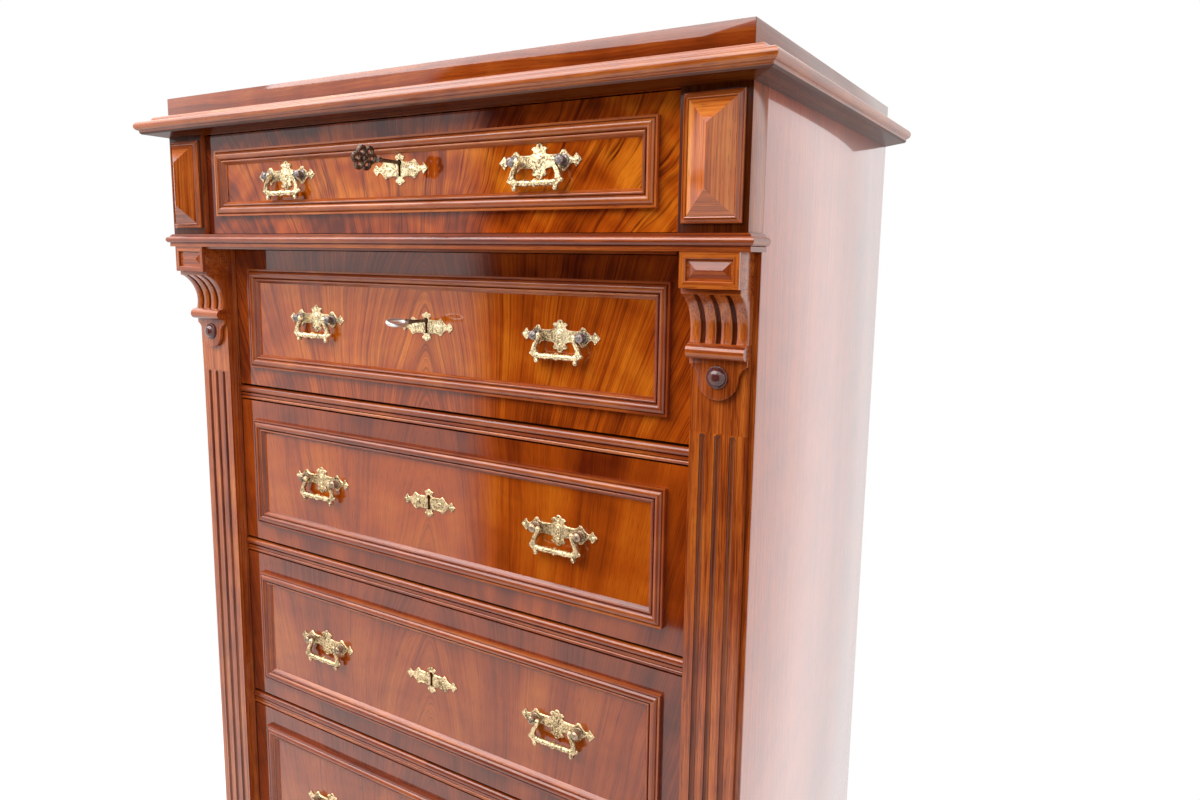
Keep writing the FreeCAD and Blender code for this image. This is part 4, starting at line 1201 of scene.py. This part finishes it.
@dataclass
class Pilasters(SubAssembly):
    """Flat shafts with round-ended flutes, on moulded bases."""

    thick: float = 4.0
    neck_t: float = 4.8
    neck_h: float = 18.3
    flutes: int = 3
    flute_w: float = 5.2
    pitch: float = 12.8
    depth: float = 1.7
    margin: float = 10.0
    plain: float = 9.0
    rings: int = 6
    # How strongly the flutes are painted with shade.
    shade_amount: float = 0.5
    base_h: float = 56.0
    base_t: float = 9.0

    def flute(self, x: float, low: float, high: float, inset: float,
              steps: int = 12) -> list[Point]:
        """A round-ended outline, inset from the rim by a distance."""
        half = self.flute_w / 2.0
        r = half - inset
        return [(x + way * r * math.cos(t), end + way * r * math.sin(t))
                for way, end in ((1.0, high - half), (-1.0, low + half))
                for t in [math.pi * i / steps for i in range(steps + 1)]]

    def shaft(self, stock: Stock, x: float, neck_low: float, band_low: float,
              shift: float) -> None:
        """The fluted shaft and the plain neck above it."""
        s = self.sizes
        foot, top, root = s.z_base + self.base_h, neck_low - self.plain, s.y_stile
        x0, x1, face = x - s.block_w / 2.0, x + s.block_w / 2.0, root - self.thick
        low, high = foot + self.margin, neck_low - self.margin
        rim = [(x0, foot), (x1, foot), (x1, top), (x0, top)]
        centres = [x + (i - (self.flutes - 1) / 2.0) * self.pitch for i in range(self.flutes)]
        loops = [rim] + [self.flute(c, low, high, 0.0) for c in centres]
        points = [Vector((a, face, b)) for loop in loops for a, b in loop]
        faces = [tuple(t) for t in tessellate_polygon(
            [[Vector((a, b, 0.0)) for a, b in loop] for loop in loops])]
        base, count = len(points), len(loops[1])
        points += [Vector((a, root, b)) for a, b in rim]
        faces += [(i, (i + 1) % 4, base + (i + 1) % 4, base + i) for i in range(4)]
        faces.append(tuple(range(base, base + 4)))
        for k, c in enumerate(centres):
            below = range(4 + k * count, 4 + (k + 1) * count)
            for step in range(1, self.rings):
                turn = math.pi / 2.0 * step / self.rings
                ring = self.flute(c, low, high, self.flute_w / 2.0 * (1.0 - math.cos(turn)))
                fresh = range(len(points), len(points) + count)
                points += [Vector((a, face + self.depth * math.sin(turn), b)) for a, b in ring]
                faces += [(below[i - 1], below[i], fresh[i], fresh[i - 1])
                          for i in [*range(1, count), 0]]
                below = fresh
            faces.append(tuple(below))
        first = len(stock.verts)
        stock.add(points, faces, UPRIGHT.moved(shift))
        # Painted shade in the flutes: their sunk faces are darkened.
        stock.paint_shade(self.shade_amount, lambda v: face + 0.05 < v.y < root - 0.05, first)
        stock.extrude([(root, top), (face, top), (root - self.neck_t, band_low),
                       (root, band_low)], 0, x0, s.block_w, UPRIGHT.moved(shift + 0.4))

    def base(self, stock: Stock, x: float, shift: float) -> None:
        """The moulded base of one pilaster."""
        s = self.sizes
        foot, y = s.z_base + self.base_h, s.y_stile
        t = y - self.base_t
        stock.extrude([
            (y, s.z_base), (t, s.z_base), (t, foot - 20.0), (t + 1.2, foot - 19.0),
            ((t - 0.6, foot - 14.5), (t + 1.2, foot - 10.0)),
            ((t + 3.4, foot - 7.0), (t + 4.0, foot - 2.6)), (t + 4.0, foot), (y, foot)],
            0, x - s.block_w / 2.0, s.block_w, LEVEL.moved(shift), 0.3, 14)

    def make(self) -> None:
        """Build the pieces and dress them."""
        carrier = Corbels()
        stock = Stock("fluted_pilasters")
        for hand, _ in SIDES:
            x = hand * self.sizes.block_x
            self.shaft(stock, x, carrier.pendant_low - self.neck_h, carrier.band_low, 2.0 + hand)
            self.base(stock, x, 5.0 + hand)
        stock.finish(self.finishes.upright, "cabinet", "pilasters")


@dataclass
class Feet(SubAssembly):
    """Four turned bun feet."""

    radius: float = 27.0
    inset: float = 36.0
    plinth_t: float = 16.0

    def make(self) -> None:
        """Build the pieces and dress them."""
        s, r, h = self.sizes, self.radius, self.sizes.foot_h
        profile = [(0.0, 0.55 * r), (0.6, 0.6 * r), ((0.31 * h, r), (0.62 * h, 0.62 * r)),
                   (0.7 * h, 0.52 * r), (0.8 * h, 0.76 * r), (h, 0.8 * r)]
        stock = Stock("bun_feet")
        x = s.half + self.plinth_t - self.inset
        for y in (s.y_stile - self.plinth_t + self.inset, s.y_back - self.inset):
            for hand, _ in SIDES:
                place = Vector((hand * x, y, 0.0))
                stock.lathe(profile, place, Z, X, Grain(Z, X, place, 0.3 * hand), 40, steps=14)
        stock.finish(self.finishes.solid, "cabinet", "feet")


# ------------------------------------------------------------------ drawers
def solid(node: str, measure: Callable[[list[float]], float]) -> tuple[list[Vector], list[Face]]:
    """The solid of a model's node whose places in depth measure most, in millimetres."""
    work = bmesh.new()
    work.from_mesh(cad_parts[node].data)
    bmesh.ops.scale(work, vec=(1.0 / MM,) * 3, verts=work.verts)
    bmesh.ops.remove_doubles(work, verts=work.verts, dist=1e-3)
    bmesh.ops.dissolve_limit(work, angle_limit=math.radians(0.5), verts=work.verts,
                             edges=work.edges)
    work.verts.index_update()
    left, found = set(work.faces), []
    while left:
        fresh, group = [left.pop()], []
        while fresh:
            group.append(fresh.pop())
            near = {f for edge in group[-1].edges for f in edge.link_faces} & left
            left -= near
            fresh += near
        used = {v.index: v.co.copy() for f in group for v in f.verts}
        place = {index: k for k, index in enumerate(sorted(used))}
        found.append(([used[index] for index in place],
                      [tuple(place[v.index] for v in f.verts) for f in group]))
    work.free()
    return max(found, key=lambda one: measure([v.y for v in one[0]]))


@dataclass
class DrawerFront(SubAssembly):
    """A veneered front board with its mitred frame moulding."""

    number: int = 1
    frame_w: float = 15.3
    frame_h: float = 6.0
    frame_side: float = 25.0
    frame_top: float = 22.0
    upper_side: float = 19.3
    upper_low: float = 19.5
    upper_high: float = 17.5

    def limits(self) -> tuple[float, float, float]:
        """Half width, lower and upper edge of the frame moulding."""
        s = self.sizes
        low = s.floor(self.number)
        high = low + s.openings[self.number - 1]
        if self.number == 1:
            return s.post_in - self.upper_side, low + self.upper_low, high - self.upper_high
        return s.open_x - self.frame_side, low + self.frame_top, high - self.frame_top

    def middle(self) -> float:
        """Height of the middle of the frame moulding."""
        return sum(self.limits()[1:]) / 2.0

    def make(self) -> None:
        """Build the pieces and dress them."""
        number, upper, body = self.number, self.number == 1, f"drawer_{self.number}"
        y, w, h = self.sizes.face(number), self.frame_w, self.frame_h
        half_w, low, high = self.limits()
        board = Stock(f"{body}_board")
        board.add(*solid(f"{body}_front", lambda depths: max(depths) - min(depths)),
                  Grain(X, Z, Vector((0.0, y, self.middle())),
                        1.7 * number + (0.8 if upper else 0.0)))
        finish = self.finishes.front(number)
        board.finish(replace(finish, name=f"{finish.name}_{number}",
                             field=(half_w * MM, (high - low) / 2.0 * MM)),
                     body, f"{body}_front", slot="walnut_veneer")
        path = [
            (0.0, 0.0), (0.0, h - 1.5), (1.8, h - 1.5), (2.4, h - 2.3),
            ((0.42 * w, h), (0.64 * w, h - 2.6)), (0.68 * w, h - 3.2),
            ((0.76 * w, h - 2.0), (0.84 * w, h - 3.2)), ((0.92 * w, 0.24 * h), (w, 0.0))]
        frame_moulding = Stock(f"{body}_frame_moulding")
        frame_moulding.surround(path, (-half_w, low), (half_w, high), y, 0.9 * number, 0.21)
        # The upper drawer's frame takes the lighter moulding: partly painted highlight.
        frame_moulding.finish(self.finishes.pale if upper else self.finishes.solid, body)


# ------------------------------------------------------------------ brasswork
def swept(u: float, v: float, a: float, b: float, start: float, step: float,
          count: int) -> list[Point]:
    """Points on an oval round (u, v), from a start angle on by equal steps."""
    return [(u + a * math.cos(start + step * i), v + b * math.sin(start + step * i))
            for i in range(count)]


def round_hole(u: float, v: float, a: float, b: float, count: int) -> list[Point]:
    """A closed oval outline."""
    return swept(u, v, a, b, 0.0, math.tau / count, count)


# Outlines, bosses (u, v, a, b, rise, around) and lines with their radius, in millimetres
# from the middle of a plate or of a handle's axis.
HANDLE_QUARTER = (
    (0.0, 14.75), (1.7, 14.35), (2.9, 13.2), (3.3, 11.8), (5.2, 12.1), (6.6, 11.5),
    (8.0, 9.9), (6.9, 9.2), (6.0, 8.0), (6.3, 6.6), (8.2, 5.6), (12.0, 5.3), (17.4, 5.2),
    (20.3, 5.7), (21.6, 7.4), (22.6, 8.8), (24.4, 8.9), (26.1, 8.0), (27.6, 6.0),
    (29.6, 3.9), (31.4, 2.7), (33.0, 2.3), (34.5, 2.8), (35.2, 4.4), (36.2, 5.7),
    (37.4, 4.8), (38.6, 3.1), (40.2, 1.7), (41.75, 0.0))
HANDLE_DOMES = ((37.8, 0.0, 2.3, 1.5, 0.8, 12), (24.4, 6.9, 1.2, 1.2, 0.7, 10),
                (24.4, -6.9, 1.2, 1.2, 0.7, 10))
HANDLE_LINES = (
    (((8.4, 4.4), (13.0, 4.1), (18.5, 4.0), (21.6, 5.4), (24.4, 7.9), (27.0, 5.6),
      (30.6, 2.4)), 0.6),
    (swept(12.6, 1.9, 2.7, 1.5, 0.4, 0.45, 11), 0.4),
    (((2.6, 6.2), (5.0, 7.8), (6.2, 9.6), (7.4, 9.9)), 0.5))
SHIELD_QUARTER = (
    (0.0, 14.5), (1.5, 14.1), (2.5, 12.8), (4.0, 12.6), (5.5, 11.6), (5.4, 10.2),
    (4.3, 9.2), (3.4, 8.2), (4.4, 7.1), (8.0, 6.6), (13.0, 6.7), (15.6, 7.1), (16.8, 8.3),
    (18.1, 8.6), (19.6, 7.7), (21.2, 5.6), (23.2, 3.6), (25.6, 2.3), (27.2, 2.6),
    (28.2, 4.0), (29.2, 5.3), (30.4, 4.6), (31.4, 3.0), (32.8, 1.5), (34.25, 0.0))
SHIELD_DOMES = ((30.6, 0.0, 2.2, 1.3, 0.7, 12), (14.0, 0.0, 3.6, 2.6, 0.7, 16))
SHIELD_LINES = (
    (((4.4, 5.6), (10.0, 5.5), (15.4, 5.9), (18.0, 7.4), (20.4, 5.0), (23.6, 2.3)), 0.6),
    (swept(9.2, 3.0, 1.9, 1.4, 0.0, 0.5, 10), 0.35))
POST_PROFILE = (
    (0.0, 5.0), (0.9, 5.0), ((1.5, 4.7), (1.7, 4.0)), (2.0, 3.2), (2.8, 3.2), (3.1, 3.7),
    (7.2, 3.7), (7.5, 4.1), (8.0, 4.1), ((9.0, 3.0), (9.5, 0.0)))
ARM = (
    (20.4, 1.4), (19.7, 2.5), (18.3, 2.8), (17.0, 2.0), (16.4, 0.4), (16.6, -1.6),
    (17.6, -4.4), (19.2, -7.4), (20.6, -10.2), (20.9, -12.6), (20.2, -14.6), (19.0, -16.0),
    (18.4, -18.4), (18.9, -20.4), (18.5, -21.8), (18.9, -23.4), (20.0, -24.4),
    (21.4, -24.4), (22.5, -23.4), (22.9, -21.8), (22.6, -20.6), (24.0, -19.2),
    (25.6, -17.8), (27.6, -17.0), (28.0, -16.0), (26.8, -15.0), (25.8, -13.0),
    (25.2, -10.4), (23.9, -7.4), (22.3, -5.2), (21.0, -3.6), (20.5, -1.6))
KEYHOLE_R, KEYHOLE_W, KEYHOLE_H = 2.7, 1.7, 12.5
ARM_BEADS = ((18.6, 0.2, 2.9), (20.7, -22.3, 2.3), (26.2, -16.0, 2.0), (19.8, -17.4, 2.6))


def whole(quarter: Sequence[Point]) -> list[Point]:
    """The full outline from its upper right quarter."""
    right = list(quarter) + [(u, -v) for u, v in reversed(quarter[:-1])]
    return right + [(-u, v) for u, v in reversed(right[1:-1])]


def keyhole_outline(z: float, ease: float) -> list[Point]:
    """The keyhole as (x, z): a round with a slot under it."""
    r, half_w, low = KEYHOLE_R + ease, KEYHOLE_W + ease, z - KEYHOLE_H - ease
    rise = math.sqrt(r * r - half_w * half_w)
    return flatten([(-half_w, low), (half_w, low), (half_w, z - rise),
                    ((0.0, z + r), (-half_w, z - rise))], 14)


class Plates(Stock):
    """Cast plates with holes, eased edges and raised ornament."""

    def plate(self, loops: Sequence[Sequence[Point]], x: float, y: float, z: float,
              thick: float, ease: float = 0.4) -> None:
        """Add a plate; the first loop is its rim and the others are holes."""
        tris = tessellate_polygon([[Vector((u, v, 0.0)) for u, v in loop] for loop in loops])
        full = [p for loop in loops for p in loop]
        small = [p for k, loop in enumerate(loops) for p in self.inset(loop, ease, k > 0)]
        count = len(full)
        verts = [Vector((x + u, level, z + v)) for level, ring in (
            (y, full), (y - thick + ease, full), (y - thick, small)) for u, v in ring]
        faces = [tuple(level + i for i in t) for level in (0, 2 * count) for t in tris]
        start = 0
        for loop in loops:
            ends = [(start + i, start + (i + 1) % len(loop)) for i in range(len(loop))]
            faces += [(level + a, level + b, level + count + b, level + count + a)
                      for level in (0, count) for a, b in ends]
            start += len(loop)
        self.add(verts, faces)

    @staticmethod
    def inset(loop: Sequence[Point], width: float, hole: bool) -> list[Point]:
        """The loop moved into the metal by a width."""
        area = sum(a[0] * b[1] - b[0] * a[1] for a, b in zip(loop, [*loop[1:], loop[0]]))
        side = (1.0 if area > 0.0 else -1.0) * (-1.0 if hole else 1.0)
        moved = []
        for k, (u, v) in enumerate(loop):
            (pu, pv), (nu, nv) = loop[k - 1], loop[(k + 1) % len(loop)]
            du, dv = nu - pu, nv - pv
            length = math.hypot(du, dv) or 1.0
            moved.append((u - side * dv / length * width, v + side * du / length * width))
        return moved

    def dome(self, x: float, y: float, z: float, a: float, b: float, rise: float,
             around: int = 20) -> None:
        """Add a low oval boss on a plate."""
        turns = [math.pi / 2.0 * k / 5.0 for k in range(6)]
        self.loft([oval(Vector((x, y - rise * math.sin(t), z)), X * (a * max(math.cos(t), THIN)),
                        Z * (b * max(math.cos(t), THIN)), around) for t in turns])

    def scroll(self, points: Sequence[Point], x: float, y: float, z: float,
               radius: float = 0.6) -> None:
        """Add a raised line that follows points on a plate."""
        line = [Vector((x + u, y, z + v)) for u, v in points]
        self.tube(line, [radius * (0.5 + 0.5 * math.sin(math.pi * (k + 0.5) / len(line)))
                         for k in range(len(line))], 1.1, 6)

    def ornament(self, x: float, y: float, z: float, domes: Sequence[Sequence[float]],
                 lines: Sequence[tuple[Sequence[Point], float]]) -> None:
        """Add the domes of one half and the lines of one quarter of a plate, mirrored."""
        for side in (-1.0, 1.0):
            for u, v, *shape in domes:
                self.dome(x + side * u, y, z + v, *shape)
            for hand in (-1.0, 1.0):
                for line, radius in lines:
                    self.scroll([(side * u, hand * v) for u, v in line], x, y, z, radius)


@dataclass
class Brasses(SubAssembly):
    """The handle plates, posts, escutcheon and lock of a drawer."""

    number: int = 1
    handle_x: float = 157.5
    up: float = 5.0
    thick: float = 1.1
    post_x: float = 24.5
    key_up: float = 6.0
    handle_pin: float = 32.4
    shield_pin: float = 25.2
    pin_r: float = 0.95
    screw_up: float = 12.2
    screw_r: float = 0.8

    def height(self) -> float:
        """Height of the middle of the plates."""
        return DrawerFront(number=self.number).middle() + self.up

    def keyhole(self) -> float:
        """Height of the round part of the keyhole."""
        return self.height() + self.key_up

    def relief(self, metal: Plates, x: float, y: float, z: float) -> None:
        """Raised ornament of a handle plate: oval boss, shields, leaves."""
        metal.dome(x, y, z + 0.4, 4.4, 6.4, 0.7)
        metal.dome(x, y, z + 1.2, 2.5, 3.7, 1.4)
        metal.dome(x, y, z - 4.2, 1.5, 1.7, 1.1, 12)
        metal.ornament(x, y, z, HANDLE_DOMES, HANDLE_LINES)
        for hand in (-1.0, 1.0):
            metal.dome(x, y, z + hand * 8.6, 1.7, 2.2, 0.8, 12)
            hoop = swept(0.0, self.screw_up, 1.9, 1.7, 0.0, math.tau / 12.0, 13)
            metal.scroll([(u, hand * v) for u, v in hoop], x, y, z, 0.5)

    def engraving(self, metal: Plates, y: float, z: float) -> None:
        """Raised ornament of the escutcheon."""
        metal.ornament(0.0, y, z, SHIELD_DOMES, SHIELD_LINES)
        for hand in (-1.0, 1.0):
            metal.dome(0.0, y, z + hand * 12.2, 1.4, 1.4, 0.8, 12)
            for side in (-1.0, 1.0):
                metal.dome(side * 3.9, y, z + hand * 10.9, 1.1, 1.1, 0.7, 10)
        rim = keyhole_outline(self.key_up, 0.5)
        metal.scroll(rim + rim[:2], 0.0, y, z, 0.5)

    def make(self) -> None:
        """Build the pieces and dress them."""
        body, key = f"drawer_{self.number}", self.key_up
        y, z = self.sizes.face(self.number), self.height()
        top = y - self.thick
        metal, posts = Plates(f"{body}_brass_plates"), Stock(f"{body}_handle_posts")
        screws = [round_hole(0.0, v, self.screw_r, self.screw_r, 12)
                  for v in (self.screw_up, -self.screw_up)]
        for side in (-1.0, 1.0):
            x = side * self.handle_x
            metal.plate([whole(HANDLE_QUARTER), *screws], x, y, z, self.thick)
            self.relief(metal, x, top, z)
            for hand in (-1.0, 1.0):
                posts.lathe(POST_PROFILE, Vector((x + hand * self.post_x, top + 0.2, z)), -Y, X,
                            around=28)
        metal.plate([whole(SHIELD_QUARTER), keyhole_outline(key, 0.0)], 0.0, y, z, self.thick)
        self.engraving(metal, top, z)
        seed = bpy.data.meshes.new("pin_places")
        seed.from_pydata([(x + way * self.handle_pin, top, z)
                          for x in (-self.handle_x, self.handle_x) for way in (-1.0, 1.0)]
                         + [(way * self.shield_pin, top, z) for way in (-1.0, 1.0)], [], [])
        metal.mesh(pin_grower().grow(seed, Radius=self.pin_r, Head=0.6))
        metal.finish(self.finishes.plate(self.number), body, f"{body}_brass", slot="brass",
                     crease=METAL)
        posts.finish(self.finishes.end(self.number), body, slot="brass", crease=METAL)
        lock = Stock(f"{body}_lock_case")
        lock.add(*solid(f"{body}_brass", max))
        lock.finish(self.finishes.iron, body, slot="steel", crease=20.0)
        # A dark sheet behind the keyhole, seen through it: painted shade inside the hole.
        shade_sheet = Plates(f"{body}_keyhole_shade_plate")
        shade_sheet.plate([round_hole(0.0, key - 4.5, 4.08, 9.5, 24), keyhole_outline(key, -0.5)],
                     0.0, y, z, 0.25, 0.05)
        shade_sheet.finish(self.finishes.painted_dark, body)


@dataclass
class Bail(SubAssembly):
    """A drop handle: slanting arms with ears and feet, and a turned grip."""

    number: int = 1
    side: str = "right"
    pivot: float = 7.0
    drop: float = 18.0
    thick: float = 3.6
    stub_x: float = 20.0
    stub_r: float = 1.5
    reach: float = 19.4

    def make(self) -> None:
        """Build the piece and dress it."""
        brasses = Brasses(number=self.number)
        x = brasses.handle_x if self.side == "right" else -brasses.handle_x
        y, z = self.sizes.face(self.number) - self.pivot, brasses.height()
        front = y - self.thick / 2.0
        body = f"drawer_{self.number}_bail_{self.side}"
        stock = Stock(f"{body}_drop_handle")
        for way in (-1.0, 1.0):
            stock.extrude([(x + way * u, z + v) for u, v in ARM], 1, front, self.thick, UPRIGHT,
                          0.85)
            stock.lathe([(0.0, self.stub_r), (self.thick, self.stub_r)],
                        Vector((x + way * self.stub_x, y, z)), X * way, Z, around=12)
            for u, v, r in ARM_BEADS:
                stock.lathe([(-r, 0.0), ((-r * 0.7, r * 0.7), (0.0, r)),
                             ((r * 0.7, r * 0.7), (r, 0.0))],
                            Vector((x + way * u, y, z + v)), Z, X, around=16)
            curl = [Vector((x + way * (18.6 + 2.6 * t + 4.6 * t * t), front,
                            z - 1.0 - 12.6 * t)) for t in [k / 9.0 for k in range(10)]]
            stock.tube(curl, [0.95 - 0.4 * abs(k / 4.5 - 1.0) for k in range(10)], 0.9, 8)
        grip = grip_grower().grow(bpy.data.meshes.new("grip_seed"), Reach=self.reach,
                                  Radius=2.9, Bead=1.7, Swell=0.75)
        grip.transform(Matrix.Translation((x, y, z - self.drop)))
        stock.mesh(grip)
        stock.finish(self.finishes.plate(self.number), body, body, slot="brass", crease=35.0)


@dataclass
class Keys(SubAssembly):
    """The pierced key of the upper drawer and the ring key of the second."""

    shank_r: float = 1.7
    bit_in: float = 12.1
    bit_w: float = 3.0
    bit_l: float = 9.6
    lobes: int = 6
    ring_r: float = 2.2
    upper_out: float = 59.4
    upper_bow: float = 29.4
    upper_turn: float = 18.0
    lower_out: float = 54.0
    lower_bow: float = 26.0
    lower_width: float = 16.0
    lower_turn: float = 22.0

    def blank(self, stock: Stock, y: float, z: float, tip: float) -> None:
        """The shank with its mouldings and the bit."""
        y_bit, r = y + self.bit_in, self.shank_r
        length = y_bit + self.bit_w - tip
        stock.lathe([(0.0, r + 0.3), (1.2, r + 0.9), (2.2, r + 1.5), (3.2, r + 0.9),
                     (3.8, r + 0.3), (5.4, r + 0.3), (6.0, r + 0.8), (6.8, r + 0.8),
                     (7.4, r), (length - 0.3, r), (length, r - 0.3)],
                    Vector((0.0, tip, z)), Y, X, around=24)
        stock.block((-0.9, y_bit, z - self.bit_l), (0.9, y_bit + self.bit_w, z), bevel=0.2)

    def hoop(self, stock: Stock, y: float, z: float, a: float, b: float,
             radius: float, steps: int = 40) -> None:
        """A closed oval ring in the plane of the bow."""
        turns = [math.tau * k / steps for k in range(steps)]
        stock.loft([oval(
            Vector((0.0, y + a * math.cos(t), z + b * math.sin(t))),
            Vector((0.0, b * math.cos(t), a * math.sin(t))).normalized() * radius,
            X * (radius * 0.9), 12) for t in turns], closed=True)

    def turned_by(self, stock: Stock, y: float, z: float, degrees: float) -> None:
        """Turn everything made so far about the shank."""
        turn = (Matrix.Translation((0.0, y, z)) @ Matrix.Rotation(math.radians(degrees), 4, "Y")
                @ Matrix.Translation((0.0, -y, -z)))
        stock.verts = [turn @ v for v in stock.verts]

    def make(self) -> None:
        """Build the cast key with six pierced lobes and the plated one with its ring."""
        y, z = self.sizes.face(1), Brasses(number=1).keyhole()
        stock = Stock("pierced_key")
        centre = y - self.upper_out + self.upper_bow / 2.0
        for t in [math.tau * k / self.lobes for k in range(self.lobes)]:
            self.hoop(stock, centre + 9.0 * math.cos(t), z + 6.6 * math.sin(t), 3.7, 3.5, 1.95,
                      24)
        stock.lathe([(-2.0, 0.0), ((-1.4, 2.0), (0.0, 2.7)), ((1.4, 2.0), (2.0, 0.0))],
                    Vector((0.0, centre, z)), X, Z, around=20)
        self.blank(stock, y, z, centre + self.upper_bow / 2.0 - 1.5)
        self.turned_by(stock, y, z, self.upper_turn)
        stock.finish(self.finishes.bronze, "key_1", "key_1", slot="bronze", crease=METAL)
        y, z = self.sizes.face(2), Brasses(number=2).keyhole()
        stock, shank = Stock("ring_key"), Stock("ring_key_shank")
        centre = y - self.lower_out + self.lower_bow / 2.0
        r = self.ring_r
        self.hoop(stock, centre, z, self.lower_bow / 2.0 - r, self.lower_width / 2.0 - r, r)
        self.blank(shank, y, z, centre + self.lower_bow / 2.0 - 2.0)
        self.turned_by(stock, y, z, 90.0 + self.lower_turn)
        self.turned_by(shank, y, z, 90.0)
        stock.finish(self.finishes.plated, "key_2", "key_2", slot="plated_steel", crease=METAL)
        # The steel shank takes the dark bronze: painted shade and a painted dark reflection.
        shank.finish(self.finishes.bronze, "key_2", slot="plated_steel", crease=METAL)


@dataclass
class KeptParts(SubAssembly):
    """Parts of the model whose shapes stay and that only take a finish."""

    def dress(self, node: str, finish: Finish) -> None:
        """Give a node of the model its finish."""
        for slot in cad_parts[node].material_slots:
            slot.material = finish.build()
        LOG.info("%s: kept", node)

    def make(self) -> None:
        """Dress the drawer boxes, the inner parts, the back and the bolts."""
        bare = self.finishes.bare
        boxed = replace(bare, name="bare_pine_box", coords=Coords.BOX)
        for number in range(1, 8):
            self.dress(f"drawer_{number}_box", boxed)
            self.dress(f"drawer_{number}_bolt", self.finishes.iron)
        self.dress("runners", bare)
        self.dress("dust_boards", bare)
        self.dress("back_panels", replace(bare, name="bare_pine_upright",
                                          coords=Coords.ALONG_Z))


# ------------------------------------------------------------------ studio
@dataclass
class Studio:
    """Camera, pale surroundings, one soft panel of light and the floor."""

    eye: tuple[float, float, float] = (0.5697, -0.7654, 1.3075)
    yaw: float = 0.54581
    pitch: float = -0.14002
    roll: float = 0.01268
    lens: float = 25.33
    sensor: float = 36.0
    shift: Point = (0.0076, -0.0219)
    wall: float = 1.6
    wall_edge: float = math.radians(39.0)
    behind: float = 1.8
    corner: float = 1.05
    above: float = 3.0
    sky: float = 0.75
    right: float = 1.5
    right_edge: float = math.radians(28.0)
    dim: float = 0.52
    room: float = 0.03
    floor_x: float = 9.0
    paper_front: float = 2.1
    paper_back: float = 0.7
    panel_at: tuple[float, float, float] = (-0.95, -1.5, 2.8)
    panel_aim: tuple[float, float, float] = (0.0, 0.0, 1.0)
    panel_size: Point = (2.5, 1.7)
    panel_level: float = 5.6

    def panel(self) -> None:
        """Hang the panel; its level is the white that it shows."""
        data = bpy.data.lights.new("high_panel", "AREA")
        data.shape = "RECTANGLE"
        wide, deep = data.size, data.size_y = self.panel_size
        data.energy = self.panel_level * math.pi * wide * deep
        lamp = bpy.data.objects.new("high_panel", data)
        aim = Vector(self.panel_aim) - Vector(self.panel_at)
        lamp.matrix_world = (Matrix.Translation(self.panel_at)
                             @ aim.to_track_quat("-Z", "Y").to_matrix().to_4x4())
        bpy.context.scene.collection.objects.link(lamp)

    def camera(self) -> None:
        """Set up the camera."""
        level = Vector((math.cos(self.yaw), math.sin(self.yaw), 0.0))
        ahead = Vector((-math.sin(self.yaw) * math.cos(self.pitch),
                        math.cos(self.yaw) * math.cos(self.pitch), math.sin(self.pitch)))
        over = level.cross(ahead)
        c, s = math.cos(self.roll), math.sin(self.roll)
        data = bpy.data.cameras.new("camera")
        data.lens, data.sensor_width, data.sensor_fit = self.lens, self.sensor, "HORIZONTAL"
        data.shift_x, data.shift_y = self.shift
        data.clip_start = 0.05
        camera = bpy.data.objects.new("camera", data)
        turn = Matrix((level * c + over * s, over * c - level * s, -ahead))
        camera.matrix_world = Matrix.Translation(self.eye) @ turn.transposed().to_4x4()
        bpy.context.scene.collection.objects.link(camera)
        bpy.context.scene.camera = camera

    def surroundings(self) -> None:
        """White to the camera; pale walls left and behind, a dim room in front."""
        world = bpy.data.worlds.new("surroundings")
        world.use_nodes = True
        graph = Graph(world.node_tree)
        x, y, z = graph.split(graph.wire("ShaderNodeTexCoord", out="Generated"))
        seen, mirrored = graph.rays()
        wall = graph.smooth(x * -math.cos(self.wall_edge) + y * math.sin(self.wall_edge),
                            -0.025, 0.025)
        right = graph.smooth(x * math.cos(self.right_edge) + y * math.sin(self.right_edge),
                             -0.06, 0.06)
        level = wall * (self.wall - self.room) + right * (self.right - self.room) + self.room
        back = graph.smooth(x, 0.12, 0.38) * (self.behind - self.corner) + self.corner
        level = level + graph.smooth(x * 0.5 + y * 0.87, -0.25, 0.25) * (back - level)
        above = mirrored * (self.above - self.sky) + self.sky
        level = level + graph.smooth(z, 0.30, 0.60) * (above - level)
        level = level * (mirrored * (1.0 - self.dim) + self.dim)
        glow = graph.node("ShaderNodeBackground", None, {
            "Color": WHITE, "Strength": seen + (1.0 - seen) * level})
        graph.node("ShaderNodeOutputWorld", None, {0: glow})
        bpy.context.scene.world = world

    def floor(self) -> None:
        """A plain pale floor."""
        mesh = bpy.data.meshes.new("floor")
        far, near, back = self.floor_x, self.paper_front, self.paper_back
        mesh.from_pydata([(-far, -near, 0.0), (far, -near, 0.0), (far, back, 0.0),
                          (-far, back, 0.0)], [], [(0, 1, 2, 3)])
        mesh.materials.append(Paper("studio_floor").build())
        floor = bpy.data.objects.new("floor", mesh)
        bpy.context.scene.collection.objects.link(floor)
        floor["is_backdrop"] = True

    def make(self) -> None:
        """Set everything up."""
        bpy.context.scene.view_settings.view_transform = "Standard"
        self.camera()
        self.surroundings()
        self.floor()
        self.panel()


def write_sizes() -> None:
    """Gather the model's box and the dressed model's box in a dictionary, which is then dropped.
    """
    def plain(value: Any) -> Any:
        """Nested lists of plain numbers."""
        if isinstance(value, (int, float)):
            return float(value)
        return [plain(v) for v in value]

    {"cad": plain(CAD_BOUNDS), "visual": plain(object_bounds())}


def main() -> None:
    """Build every sub-assembly in order."""
    Studio().make()
    groups = [Carcase(), Mouldings(), CornerBlocks(), Corbels(), Pilasters(), Feet(),
              KeptParts(), Keys()]
    for number in range(1, 8):
        groups += [DrawerFront(number=number), Brasses(number=number),
                   *(Bail(number=number, side=side) for side in ("right", "left"))]
    for group in groups:
        LOG.info("making %s", type(group).__name__)
        group.make()
    write_sizes()


if __name__ == "__main__":
    main()
